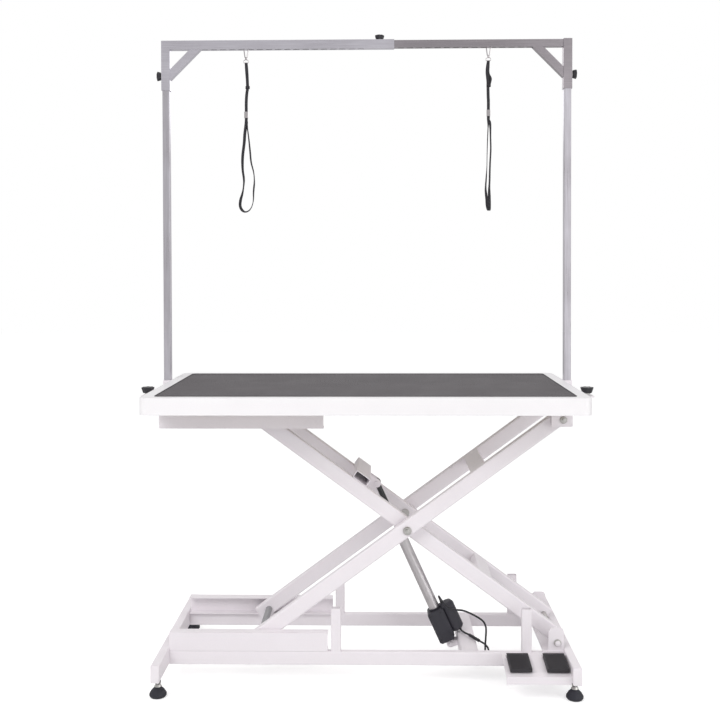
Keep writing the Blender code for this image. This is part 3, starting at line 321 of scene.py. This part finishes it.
ZINC = finish("zinc_fastener", DRAWN, (0.66, 0.65, 0.63), (0.50, 0.49, 0.47), (0.25, 0.45), 1.0, scale=900,
              relief=0.12)
CHROME = finish("bright_wire", DRAWN, (0.66, 0.63, 0.64), (0.50, 0.47, 0.48), (0.10, 0.2), 1.0, scale=900,
                relief=0.03)
ALUMINIUM = finish("actuator_aluminium", DRAWN, (0.66, 0.64, 0.65), (0.52, 0.49, 0.50), (0.28, 0.42), 1.0,
                   scale=500, relief=0.08, stretch=(1, 1, 0.05))
HOUSING = finish("charcoal_housing", MOULDED, (0.040, 0.039, 0.050), (0.027, 0.026, 0.034), (0.42, 0.58),
                 scale=900, relief=0.25)
KNOB = finish("black_knob", MOULDED, (0.028, 0.027, 0.032), (0.016, 0.015, 0.019), (0.34, 0.5), scale=1100,
              relief=0.2)
PEDAL = finish("pedal_moulding", MOULDED, (0.034, 0.031, 0.036), (0.020, 0.018, 0.022),
               (0.45, 0.62), scale=900, relief=0.3)
FOOT = finish("foot_rubber", MOULDED, (0.030, 0.030, 0.040), (0.018, 0.018, 0.026), (0.5, 0.7), scale=700,
              relief=0.3)
ROLLER = finish("roller_nylon_finish", MOULDED, (0.34, 0.34, 0.35), (0.25, 0.25, 0.26),
                (0.4, 0.55), scale=600)
ROD = finish("blacked_rod", DRAWN, (0.07, 0.068, 0.072), (0.04, 0.04, 0.043), (0.28, 0.4), 0.8, scale=500,
             relief=0.05, stretch=(1, 1, 0.05))
MAT = finish("matting_rubber", RIBS, (0.150, 0.138, 0.146), (0.112, 0.102, 0.109), (0.62, 0.8), scale=300,
             relief=0.8)
# the mat's raised edge is real in shape, but its colour darker than the mat is painted shade on its side
MAT_EDGE_SHADE = finish("mat_edge_painted_shade", MOULDED, (0.055, 0.050, 0.054), (0.04, 0.036, 0.04),
                (0.6, 0.75), scale=500)
BOARD = finish("sealed_board", MOULDED, (0.62, 0.57, 0.50), (0.50, 0.45, 0.38), (0.5, 0.7), scale=60,
               relief=0.12, stretch=(0.15, 1, 1))
CABLE = finish("cable_sheath", MOULDED, (0.025, 0.025, 0.030), (0.016, 0.016, 0.02), (0.38, 0.5), scale=800,
               relief=0.1)
WEBBING = finish("webbing_nylon", WEAVE, (0.030, 0.028, 0.034), (0.008, 0.008, 0.010),
                 (0.62, 0.85), scale=2.2, relief=0.6)
THREAD = finish("stitch_thread", MOULDED, (0.09, 0.088, 0.098), (0.05, 0.05, 0.056), (0.6, 0.8), scale=900)

FINISH_OF_SLOT = {"white_powder_coat": POWDER_COAT, "white_edging": EDGING, "brushed_steel": ZINC,
                  "aluminium_tube": ALUMINIUM, "black_plastic": KNOB, "roller_nylon": ROLLER,
                  "ribbed_rubber": MAT, "board_underside": BOARD, "black_webbing": WEBBING}
# the right arch takes the darker copy of the arch steel, as painted shade
FINISH_OF_NODE = {"post_left": STEEL_UP, "post_right": STEEL_UP, "arch_left": STEEL_ALONG,
                  "arch_right": STEEL_ALONG_SHADED, "hook_left": CHROME, "hook_right": CHROME,
                  "strap_slide_left": CHROME, "strap_slide_right": CHROME, "motor_housing": HOUSING,
                  "control_box": HOUSING, "actuator_rod": ROD, "pedal_left": PEDAL, "pedal_right": PEDAL}


def dress_nodes():
    """Gives every CAD node its finish; the levelling feet are rubber all through."""
    for name, node in NODES.items():
        made = FINISH_OF_NODE.get(name, FINISH_OF_SLOT[SLOT_OF[name]])
        if name.startswith("levelling_foot"):
            made = FOOT
        node.data.materials.clear()
        node.data.materials.append(made)


# ---------------------------------------------------------------- modelling helpers
def deselect():
    if bpy.context.mode != "OBJECT":
        bpy.ops.object.mode_set(mode="OBJECT")
    bpy.ops.object.select_all(action="DESELECT")


def facing(axis):
    """The turn that points a piece's own Z along an axis."""
    return Vector(axis).to_track_quat("Z", "Y").to_euler()


def block(size):
    """A cube at the origin, scaled to a size."""
    deselect()
    bpy.ops.mesh.primitive_cube_add(size=1, location=(0, 0, 0))
    piece = bpy.context.object
    piece.scale = size
    bpy.ops.object.transform_apply(location=False, rotation=False, scale=True)
    return piece


def settle(piece, name, body, made, turn=None):
    """Names a finished piece, puts its place in its mesh, and sets its finish and body."""
    deselect()
    piece.select_set(True)
    bpy.context.view_layer.objects.active = piece
    if turn is not None:
        piece.rotation_euler = turn
    bpy.ops.object.transform_apply(location=True, rotation=True, scale=True)
    piece.name = name
    piece.data.materials.clear()
    piece.data.materials.append(made)
    bpy.ops.object.shade_smooth_by_angle(angle=math.radians(35))
    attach(piece, body)
    return piece


def apply_bevel(piece, width, segments=2, angle=30):
    bevel = piece.modifiers.new("edges", "BEVEL")
    bevel.width = width
    bevel.segments = segments
    bevel.limit_method = "ANGLE"
    bevel.angle_limit = math.radians(angle)
    bpy.context.view_layer.objects.active = piece
    bpy.ops.object.modifier_apply(modifier=bevel.name)


def in_edit(piece, pick):
    """Opens a piece with the faces chosen by a test on their centre and normal selected."""
    deselect()
    piece.select_set(True)
    bpy.context.view_layer.objects.active = piece
    bpy.ops.object.mode_set(mode="EDIT")
    bpy.ops.mesh.select_mode(type="FACE")
    bpy.ops.mesh.select_all(action="DESELECT")
    shape = bmesh.from_edit_mesh(piece.data)
    for face in shape.faces:
        face.select = pick(face)
    bmesh.update_edit_mesh(piece.data)


def plate(name, size, place, made, body, bevel=0.001, turn=(0, 0, 0), inset=0.0, sink=0.0):
    """A flat piece with eased edges and, if asked, a panel sunk in its local top."""
    piece = block(size)
    if inset:
        in_edit(piece, lambda face: face.normal.z > 0.9)
        bpy.ops.mesh.inset(thickness=inset, depth=-sink)
        bpy.ops.object.mode_set(mode="OBJECT")
    apply_bevel(piece, bevel)
    piece.location = place
    return settle(piece, name, body, made, turn)


def disc(name, radius, height, place, axis, made, body, sides=24, crown=0.3, socket=0.0):
    """A round or hexagonal head standing along an axis, with a domed rim and perhaps a hex socket."""
    deselect()
    bpy.ops.mesh.primitive_cylinder_add(vertices=sides, radius=radius, depth=height,
                                        location=(0, 0, height / 2))
    piece = bpy.context.object
    bpy.ops.object.transform_apply(location=True)
    in_edit(piece, lambda face: face.normal.z > 0.9)
    bpy.ops.mesh.inset(thickness=radius * crown)
    bpy.ops.transform.translate(value=(0, 0, height * 0.35))
    if socket:
        bpy.ops.mesh.inset(thickness=radius * (1 - crown) - socket)
        bpy.ops.mesh.extrude_region_move(TRANSFORM_OT_translate={"value": (0, 0, -height * 0.8)})
    bpy.ops.object.mode_set(mode="OBJECT")
    apply_bevel(piece, min(radius, height) * 0.12, 2, 40)
    piece.location = place
    return settle(piece, name, body, made, facing(axis))


def ring(name, major, minor, segments, place, made, body, turn=None):
    """A round ring, with its segments round the ring and round its section."""
    deselect()
    bpy.ops.mesh.primitive_torus_add(major_radius=major, minor_radius=minor, major_segments=segments[0],
                                     minor_segments=segments[1], location=place)
    return settle(bpy.context.object, name, body, made, turn)


# ---------------------------------------------------------------- knobs
SMALL_GRIP = (0.0158, 0.0115)
CLAMP_GRIP = (0.0215, 0.0175)
LOBES, SIDES_PER_LOBE = 7, 6
LOBE_DEPTH = 0.10


def lobed_knob(name, place, axis, grip, body, taper=0.8):
    """A fluted hand knob on its seat: a turned blank whose side is drawn in between the lobes."""
    radius, height = grip
    deselect()
    bpy.ops.mesh.primitive_cylinder_add(vertices=LOBES * SIDES_PER_LOBE, radius=radius, depth=height,
                                        location=(0, 0, height / 2))
    piece = bpy.context.object
    bpy.ops.object.transform_apply(location=True)
    in_edit(piece, lambda face: face.normal.z > 0.9)
    bpy.ops.mesh.inset(thickness=radius * 0.16)
    bpy.ops.transform.translate(value=(0, 0, height * 0.08))
    bpy.ops.mesh.inset(thickness=radius * 0.22)
    bpy.ops.transform.translate(value=(0, 0, -height * 0.06))
    bpy.ops.object.mode_set(mode="OBJECT")
    for vertex in piece.data.vertices:
        angle = math.atan2(vertex.co.y, vertex.co.x)
        if vertex.co.xy.length > radius * 0.8:
            share = 1 - LOBE_DEPTH * (0.5 + 0.5 * math.cos(LOBES * angle))
            if vertex.co.z < height * 0.3:
                share *= taper
            vertex.co.x *= share
            vertex.co.y *= share
    apply_bevel(piece, radius * 0.10, 3, 40)
    piece.location = place
    settle(piece, name, body, KNOB, facing(axis))
    collar_place = Vector(place) - Vector(axis) * height * 0.24
    disc(f"{name}_collar", radius * 0.42, height * 0.3, collar_place, axis, ZINC, body, 20)
    return piece


def make_knobs():
    for side, name in SIDES:
        low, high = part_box(f"height_knob_{name}")
        middle = (low + high) / 2
        seat = Vector((high.x - 0.0125 if side > 0 else low.x + 0.0125, middle.y, middle.z))
        knob = lobed_knob(f"height_knob_grip_{name}", seat, (side, 0, 0), SMALL_GRIP,
                          f"{name}_height_knob")
        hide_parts(f"height_knob_{name}")
        low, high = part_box(f"clamp_knob_{name}")
        middle = (low + high) / 2
        top = Vector((middle.x, middle.y, high.z - 0.019))
        knob = lobed_knob(f"clamp_knob_grip_{name}", top, (0, 0, 1), CLAMP_GRIP, f"{name}_clamp_knob",
                          taper=0.72)
        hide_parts(f"clamp_knob_{name}")
        stud_low = Vector((middle.x, middle.y, low.z))
        disc(f"clamp_stud_{name}", 0.0038, high.z - 0.020 - low.z, stud_low, (0, 0, 1), ZINC,
             f"{name}_clamp_knob", 16, 0.2)
    low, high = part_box("width_knob")
    middle = (low + high) / 2
    knob = lobed_knob("width_knob_grip", (middle.x, middle.y, high.z - 0.0125), (0, 0, 1), SMALL_GRIP,
                      "width_knob")
    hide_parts("width_knob")


# ---------------------------------------------------------------- end caps and fasteners
CAP_THICKNESS = 0.0022
BEAM_CAP = (0.0246, 0.0494)
ARM_CAP = (0.0244, 0.0444)
SHORT_END, LONG_END = 0.012, 0.034
ARM_ABOVE_PIVOTS = 0.004
FOOT_NUT_HEIGHT, FOOT_CONE_HEIGHT = 0.0370, 0.0325
THREAD_START, THREAD_PITCH = 0.0446, 0.0016


def tube_cap(name, place, along, size, made, body, upwards=(0, 0, 1)):
    """A cap on a tube's open end, a little domed, seated over the wall's end face."""
    along, upwards = Vector(along).normalized(), Vector(upwards)
    across = upwards.cross(along).normalized()
    turn = Matrix((across, along.cross(across), along)).transposed().to_euler()
    piece = block((size[0], size[1], CAP_THICKNESS))
    in_edit(piece, lambda face: face.normal.z > 0.9)
    bpy.ops.mesh.inset(thickness=min(size) * 0.14)
    bpy.ops.transform.translate(value=(0, 0, 0.0006))
    bpy.ops.object.mode_set(mode="OBJECT")
    apply_bevel(piece, 0.0008)
    piece.location = Vector(place) + along * 0.0013
    return settle(piece, name, body, made, turn)


def make_caps():
    for _, name in SIDES:
        low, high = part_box(f"end_beam_{name}")
        middle = (low + high) / 2
        for end, end_name in ENDS:
            place = (middle.x, low.y if end < 0 else high.y, middle.z)
            tube_cap(f"beam_cap_{end_name}_{name}", place, (0, end, 0), BEAM_CAP, POWDER_COAT, "base")
    base, centre, top = (joint_at(name) for name in ("lift", "centre_pivot", "table_pivot"))
    inner = (centre - base).normalized()
    outer = (top - centre).normalized()
    lower_half, upper_half = (centre - base).length, (top - centre).length
    arms = ((inner, "inner", SHORT_END, LONG_END, Vector((abs(inner.z), 0, abs(inner.x)))),
            (outer, "outer", LONG_END, SHORT_END, Vector((-outer.z, 0, outer.x))))
    for along, frame_name, lower_end, upper_end, upward in arms:
        for _, end_name in ENDS:
            low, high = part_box(f"{frame_name}_arm_{end_name}")
            depth = (low.y + high.y) / 2
            for way, level, reach in ((-1, "low", lower_half + lower_end),
                                      (1, "high", upper_half + upper_end)):
                place = centre + along * way * reach + upward * ARM_ABOVE_PIVOTS
                place.y = depth
                tube_cap(f"{frame_name}_arm_cap_{end_name}_{level}", place, along * way, ARM_CAP,
                         POWDER_COAT, f"{frame_name}_frame", upward)


def make_fasteners():
    for end, end_name in ENDS:
        low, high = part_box(f"centre_bolt_{end_name}")
        face = low.y if end < 0 else high.y
        centre = joint_at("centre_pivot")
        disc(f"centre_bolt_hex_{end_name}", 0.0072, 0.0035, (centre.x, face, centre.z), (0, end, 0), ZINC,
             "inner_frame", 6, 0.2)
        for shaft, body, pivot in (("base_pivot_shaft", "base", "lift"),
                                   ("table_pivot_shaft", "table", "table_pivot")):
            low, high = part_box(shaft)
            face = low.y if end < 0 else high.y
            place = joint_at(pivot)
            if shaft == "base_pivot_shaft" and end < 0:
                disc("base_pivot_cap", 0.0078, 0.0034, (place.x, face, place.z), (0, end, 0),
                     POWDER_COAT, body, 32, 0.35)
            else:
                disc(f"{shaft}_hex_{end_name}", 0.0062, 0.003, (place.x, face, place.z), (0, end, 0),
                     ZINC, body, 6, 0.2)
    for _, end_name in ENDS:
        low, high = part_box(f"table_track_{end_name}")
        middle = (low.y + high.y) / 2
        for share in (0.08, 0.5, 0.92):
            across = low.x + share * (high.x - low.x)
            disc(f"track_screw_{end_name}_{int(share * 100)}", 0.0045, 0.002,
                 (across, middle, low.z + 0.0533), (0, 0, 1), ZINC, "table", 16, 0.3, 0.002)


def make_feet():
    """Jam nut, cone and threads above each rubber pad."""
    for _, name in SIDES:
        for _, end_name in ENDS:
            low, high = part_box(f"levelling_foot_{end_name}_{name}")
            middle = (low + high) / 2
            body = f"{end_name}_{name}_foot"
            disc(f"foot_nut_{end_name}_{name}", 0.0093, 0.0050, (middle.x, middle.y, FOOT_NUT_HEIGHT),
                 (0, 0, 1), ZINC, body, 6, 0.25)
            deselect()
            bpy.ops.mesh.primitive_cone_add(vertices=24, radius1=0.0112, radius2=0.0066, depth=0.0075,
                                            location=(middle.x, middle.y, FOOT_CONE_HEIGHT))
            cone = bpy.context.object
            apply_bevel(cone, 0.0006)
            settle(cone, f"foot_cone_{end_name}_{name}", body, ZINC)
            for turn in range(5):
                ring(f"foot_thread_{end_name}_{name}_{turn}", 0.0056, 0.0005, (24, 6),
                     (middle.x, middle.y, THREAD_START + turn * THREAD_PITCH), ZINC, body)


# ---------------------------------------------------------------- mat, pedals and controls
MAT_CORNER, MAT_EDGE_WIDTH, MAT_EDGE_HEIGHT = 0.0117, 0.0024, 0.0012
TREADS, TREAD_START, TREAD_PITCH = 15, 0.0045, 0.0052
TREAD_SIZE = (0.054, 0.0026, 0.0016)
PEDAL_TAPER = math.atan2(0.0055, 0.086)
# the hinge's slope, and the slope of the pedal's top before its taper
PEDAL_TURN, PEDAL_SLOPE = math.radians(10.68), math.radians(10.7)
TUBE_END, TUBE_COLLAR = 0.3705, 0.1172
# across and along the actuator from its foot
HOUSING_SCREWS = ((-0.020, 0.026), (0.017, 0.030), (-0.020, 0.105), (0.012, 0.106))


def make_mat_edge():
    """A thin edge that stands just proud round the mat, darker than the mat as painted shade along its side."""
    low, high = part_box("rubber_mat")
    middle, size = (low + high) / 2, high - low
    deselect()
    bpy.ops.mesh.primitive_plane_add(size=1, location=(0, 0, 0))
    piece = bpy.context.object
    piece.scale = (size.x - 0.0006, size.y - 0.0006, 1)
    bpy.ops.object.transform_apply(location=False, rotation=False, scale=True)
    in_edit(piece, lambda face: True)
    bpy.ops.mesh.bevel(offset=MAT_CORNER, segments=6, affect="VERTICES")
    bpy.ops.mesh.select_all(action="SELECT")
    bpy.ops.mesh.inset(thickness=MAT_EDGE_WIDTH)
    bpy.ops.mesh.delete(type="FACE")
    bpy.ops.mesh.select_all(action="SELECT")
    bpy.ops.mesh.extrude_region_move(TRANSFORM_OT_translate={"value": (0, 0, MAT_EDGE_HEIGHT)})
    bpy.ops.mesh.select_all(action="SELECT")
    bpy.ops.mesh.normals_make_consistent(inside=False)
    bpy.ops.object.mode_set(mode="OBJECT")
    piece.location = (middle.x, middle.y, high.z + 0.0001)
    settle(piece, "mat_edge", "table", MAT_EDGE_SHADE)


def make_pedal_treads():
    """Raised treads across each pedal."""
    for _, name in SIDES:
        hinge = joint_at(f"{name}_pedal_press")
        for row in range(TREADS):
            back = TREAD_START + row * TREAD_PITCH
            rise = 0.0045 + (back + 0.0055) * math.tan(PEDAL_TAPER)
            place = Vector((hinge.x,
                            hinge.y - back * math.cos(PEDAL_TURN) - rise * math.sin(PEDAL_TURN),
                            hinge.z - back * math.sin(PEDAL_TURN) + rise * math.cos(PEDAL_TURN)))
            plate(f"pedal_tread_{name}_{row}", TREAD_SIZE, place, PEDAL, f"{name}_pedal",
                  0.0005, (PEDAL_SLOPE - PEDAL_TAPER, 0, 0))


def make_housing_detail():
    """Screws on the actuator's housing, rings on its tube, and the control box's lid."""
    foot = joint_at("actuator_foot")
    along = Vector(JOINTS["rod_stroke"]["axis"])
    across = Vector((along.z, 0, -along.x))
    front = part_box("motor_housing")[0].y
    for index, (side, rise) in enumerate(HOUSING_SCREWS):
        place = foot + across * side + along * rise
        place.y = front
        disc(f"housing_screw_{index}", 0.0028, 0.0012, place, (0, -1, 0), KNOB, "actuator_barrel",
             16, 0.3, 0.0012)
    ring("tube_wiper", 0.0131, 0.0033, (40, 12), foot + along * TUBE_END, KNOB, "actuator_barrel",
         facing(along))
    ring("tube_collar", 0.0172, 0.0021, (40, 10), foot + along * TUBE_COLLAR, HOUSING, "actuator_barrel",
         facing(along))
    low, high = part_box("control_box")
    middle = (low + high) / 2
    plate("control_box_lid", (high.x - low.x - 0.004, high.y - low.y - 0.004, 0.0018),
          (middle.x, middle.y, high.z + 0.0009), HOUSING, "base", 0.0006, (0, 0, 0),
          0.004, 0.0006)


# ---------------------------------------------------------------- cables
MOTOR_CABLE = (
    (0.2298, 0.000, 0.1832), (0.2235, -0.003, 0.1970), (0.2222, -0.014, 0.2050), (0.2300, -0.028, 0.1970),
    (0.2485, -0.035, 0.1785), (0.2710, -0.039, 0.1730), (0.2940, -0.047, 0.1730), (0.3160, -0.062, 0.1690),
    (0.3370, -0.083, 0.1640), (0.3490, -0.104, 0.1600), (0.3540, -0.117, 0.1500), (0.3545, -0.121, 0.1390),
    (0.3536, -0.121, 0.1200), (0.3520, -0.121, 0.0950), (0.3520, -0.121, 0.0709))
CONTROL_CABLE = (
    (0.2877, -0.0040, 0.1041), (0.2893, -0.0052, 0.1006), (0.2945, -0.0140, 0.0976),
    (0.3025, -0.0320, 0.0987), (0.3078, -0.0432, 0.1003), (0.3120, -0.0500, 0.1000))
CONTROL_LEAD = (
    (0.3373, -0.0905, 0.0985), (0.3405, -0.0956, 0.0983), (0.3510, -0.1050, 0.0950),
    (0.3610, -0.1100, 0.0850), (0.3640, -0.1110, 0.0709))
CABLE_DIAMETER = 0.0056
MOTOR_CABLE_BENDS_TO = MOTOR_CABLE[10]


def smooth_path(points, per_span):
    """Points along a Catmull-Rom curve through the given ones."""
    known = [Vector(point) for point in points]
    known = [2 * known[0] - known[1]] + known + [2 * known[-1] - known[-2]]
    path = []
    for before, start, end, after in zip(known, known[1:], known[2:], known[3:]):
        for step in range(per_span):
            t = step / per_span
            path.append(0.5 * (2 * start + (end - before) * t
                               + (2 * before - 5 * start + 4 * end - after) * t * t
                               + (3 * start - before - 3 * end + after) * t ** 3))
    return path + [known[-2]]


def lay_cable(name, node, points, bends_to=None):
    """A round cable along points, attached to the base; with bends_to it is left unattached where it lies."""
    path = smooth_path(points, 6)
    curve = bpy.data.curves.new(name, "CURVE")
    curve.dimensions = "3D"
    curve.bevel_depth = CABLE_DIAMETER / 2
    curve.bevel_resolution = 4
    curve.use_fill_caps = True
    spline = curve.splines.new("POLY")
    spline.points.add(len(path) - 1)
    for target, point in zip(spline.points, path):
        target.co = (*point, 1)
    spline.use_smooth = True
    cable = bpy.data.objects.new(name, curve)
    bpy.context.scene.collection.objects.link(cable)
    curve.materials.append(CABLE)
    deselect()
    cable.select_set(True)
    bpy.context.view_layer.objects.active = cable
    bpy.ops.object.convert(target="MESH")
    cable = bpy.context.object
    if bends_to is None:
        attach(cable, "base")
    else:
        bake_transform(cable)
    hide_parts(node)


def make_cables():
    lay_cable("motor_cable_run", "motor_cable", MOTOR_CABLE, MOTOR_CABLE_BENDS_TO)
    lay_cable("control_cable_run", "control_cable", CONTROL_CABLE, CONTROL_CABLE[-1])
    lay_cable("control_lead_run", "control_lead", CONTROL_LEAD)
    for name, place, axis in (("motor_cable_gland", MOTOR_CABLE[0], (-0.41, 0, 0.91)),
                              ("control_cable_gland", CONTROL_CABLE[0], (0.41, 0, -0.91))):
        deselect()
        bpy.ops.mesh.primitive_cone_add(vertices=20, radius1=0.0046, radius2=0.0034, depth=0.008,
                                        location=Vector(place) + Vector(axis) * 0.001)
        gland = bpy.context.object
        apply_bevel(gland, 0.0006)
        settle(gland, name, "actuator_barrel", KNOB, facing(axis))


# ---------------------------------------------------------------- grooming loops
STRAP_WIDTH = 0.0095
# sideways and below the bar, per loop
STEM = {"left": ((0.0, 0.0436), (0.0020, 0.062), (0.0034, 0.090), (0.0044, 0.122), (0.0015, 0.145),
                 (0.0, 0.172), (0.0, 0.200), (0.0, 0.2205)),
        "right": ((0.0, 0.0436), (-0.0030, 0.062), (-0.0042, 0.082), (-0.0016, 0.108), (-0.0012, 0.135),
                  (-0.0006, 0.160), (0.0, 0.172), (0.0, 0.200), (0.0, 0.2205))}
# share of the noose's length, and how far the webbing has turned its face to the front, in degrees
TWIST = {"left": ((0.0, 88), (0.06, 78), (0.16, 60), (0.26, 34), (0.31, 10), (0.38, 58), (0.45, 56),
                  (0.51, 24), (0.60, 12), (0.68, 34), (0.74, 16), (0.84, 34), (0.93, 20), (1.0, 60)),
         "right": ((0.0, 88), (0.07, 18), (0.22, 10), (0.30, 30), (0.38, 72), (0.46, 88), (0.54, 88),
                   (0.62, 70), (0.70, 20), (0.90, 12), (1.0, 60))}
# the right noose's two strands stand a little apart
SPREAD = ((0.0, 0.0), (0.10, -0.0018), (0.22, -0.0030), (0.28, -0.0085), (0.34, -0.0025),
          (0.50, 0.0020), (0.66, -0.0008), (0.74, 0.0010), (0.86, 0.0060), (0.95, 0.0052), (1.0, 0.0))
# sideways and below the bar, down one strand and up the other
NOOSE = (
    (-0.0013, 0.240), (-0.0052, 0.272), (-0.0072, 0.300), (-0.0125, 0.345), (-0.0125, 0.385),
    (-0.0085, 0.420), (-0.0120, 0.455), (-0.0200, 0.485), (-0.0205, 0.505), (-0.0120, 0.5185),
    (0.0000, 0.521), (0.0130, 0.511), (0.0210, 0.488), (0.0225, 0.455), (0.0250, 0.425),
    (0.0230, 0.395), (0.0150, 0.362), (0.0115, 0.325), (0.0075, 0.285), (0.0025, 0.245),
    (0.0012, 0.232))
# behind the stem, below the bar, and share of the right fold's bow
FOLD = ((0.0030, 0.0440, 0), (0.0042, 0.060, 0), (0.0045, 0.082, 0.15), (0.0042, 0.100, 1.0),
        (0.0034, 0.122, 0.6))
RIGHT_FOLD_BOW = 0.010
KEEPER_BELOW = 0.122
EYE_DROP = 0.043
STEPS_PER_SPAN = 5
STITCH_ROWS, STITCH_START, STITCH_PITCH = 5, 0.058, 0.0030
STITCH_SIZE = (0.0050, 0.0007, 0.0009)


def ribbon(name, path, across, width, thickness):
    """A webbing strip swept along a path, with eased edges and a UV map in strap widths."""
    edge = thickness * 0.30
    half_w, half_t = width / 2, thickness / 2
    section = [(half_w, half_t - edge), (half_w - edge, half_t),
               (edge - half_w, half_t), (-half_w, half_t - edge),
               (-half_w, edge - half_t), (edge - half_w, -half_t),
               (half_w - edge, -half_t), (half_w, edge - half_t)]
    mesh = bpy.data.meshes.new(name)
    shape = bmesh.new()
    uv = shape.loops.layers.uv.new("UVMap")
    rings, runs, run = [], [], 0.0
    for index, (point, side) in enumerate(zip(path, across)):
        before, after = path[max(index - 1, 0)], path[min(index + 1, len(path) - 1)]
        run += (point - path[max(index - 1, 0)]).length
        runs.append(run / width)
        out = side.cross(after - before).normalized()
        rings.append([shape.verts.new(point + side * a + out * b) for a, b in section])
    count = len(section)
    for index, (lower, upper) in enumerate(zip(rings, rings[1:])):
        for step in range(count):
            after = (step + 1) % count
            face = shape.faces.new((lower[step], lower[after], upper[after], upper[step]))
            places = ((section[step][0], runs[index]), (section[after][0], runs[index]),
                      (section[after][0], runs[index + 1]), (section[step][0], runs[index + 1]))
            for loop, (a, b) in zip(face.loops, places):
                loop[uv].uv = (a / width, b)
    shape.faces.new(rings[0])
    shape.faces.new(rings[-1])
    bmesh.ops.recalc_face_normals(shape, faces=shape.faces)
    shape.to_mesh(mesh)
    shape.free()
    piece = bpy.data.objects.new(name, mesh)
    bpy.context.scene.collection.objects.link(piece)
    return piece


def between(table, share):
    """The value of a table of (share, value) rows at a share, eased between rows."""
    for (low, first), (high, second) in zip(table, table[1:]):
        if share <= high:
            part = (share - low) / (high - low)
            part = part * part * (3 - 2 * part)
            return first + (second - first) * part
    return table[-1][1]


def make_loops():
    for side, name in SIDES:
        top = joint_at(f"{name}_strap_swing") + Vector((0, 0, EYE_DROP))
        stem_across = Vector((1, 0, 0))
        plane = Vector((1, 0, 0)) if side < 0 else Vector((0.26, 0.966, 0)).normalized()
        binormal = Vector((0, 1, 0)) if side < 0 else Vector((0.966, -0.26, 0)).normalized()
        points = [top + Vector((sideways, 0, -below)) for sideways, below in STEM[name]]
        stem_end = len(smooth_path(points, STEPS_PER_SPAN))
        for index, (lean, below) in enumerate(NOOSE):
            apart = between(SPREAD, index / (len(NOOSE) - 1)) if side > 0 else 0.0
            points.append(top + plane * lean + Vector((apart, 0, -below)))
        path = smooth_path(points, STEPS_PER_SPAN)
        across = []
        for index, point in enumerate(path):
            if index < stem_end:
                across.append(stem_across)
                continue
            share = (index - stem_end) / (len(path) - 1 - stem_end)
            tangent = (path[min(index + 1, len(path) - 1)] - path[index - 1]).normalized()
            in_plane = tangent.cross(binormal).normalized()
            turn = math.radians(between(TWIST[name], share))
            first, second = (binormal, in_plane) if side < 0 else (in_plane, binormal)
            face = first * math.cos(turn) + second * math.sin(turn)
            across.append((face - tangent * face.dot(tangent)).normalized())
        strap = ribbon(f"webbing_{name}", path, across, STRAP_WIDTH, 0.0022)
        bow = 0.0 if side < 0 else RIGHT_FOLD_BOW
        drift = ((0, 0), (0.044, 0), (KEEPER_BELOW, 0.004 * -side))
        fold_points = [top + Vector((between(drift, below) + bow * part, behind, -below))
                       for behind, below, part in FOLD]
        fold_path = smooth_path(fold_points, STEPS_PER_SPAN)
        fold = ribbon(f"webbing_fold_{name}", fold_path, [stem_across] * len(fold_path), STRAP_WIDTH, 0.0020)
        keeper = []
        keeper_at = 0.0044 if side < 0 else 0.0010
        for turn in range(0, 361, 20):
            angle = math.radians(turn)
            keeper.append(top + Vector((0.0062 * math.cos(angle) + keeper_at,
                                        0.0020 + 0.0050 * math.sin(angle), -KEEPER_BELOW)))
        band = ribbon(f"keeper_{name}", keeper, [Vector((0, 0, 1))] * len(keeper), 0.009, 0.0016)
        for row in range(STITCH_ROWS):
            stitch = block(STITCH_SIZE)
            apply_bevel(stitch, 0.0002)
            stitch.location = top + Vector((0.0022 * -side, -0.0012, -STITCH_START - row * STITCH_PITCH))
            settle(stitch, f"stitch_{name}_{row}", f"{name}_strap", THREAD)
        for piece in (strap, fold, band):
            piece.data.materials.append(WEBBING)
            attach(piece, f"{name}_strap")
            for face in piece.data.polygons:
                face.use_smooth = True
        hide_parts(f"strap_{name}")


# ---------------------------------------------------------------- the whole
set_studio()
set_camera()
dress_nodes()
make_cables()
make_loops()
make_knobs()
make_caps()
make_fasteners()
make_feet()
make_mat_edge()
make_pedal_treads()
make_housing_detail()
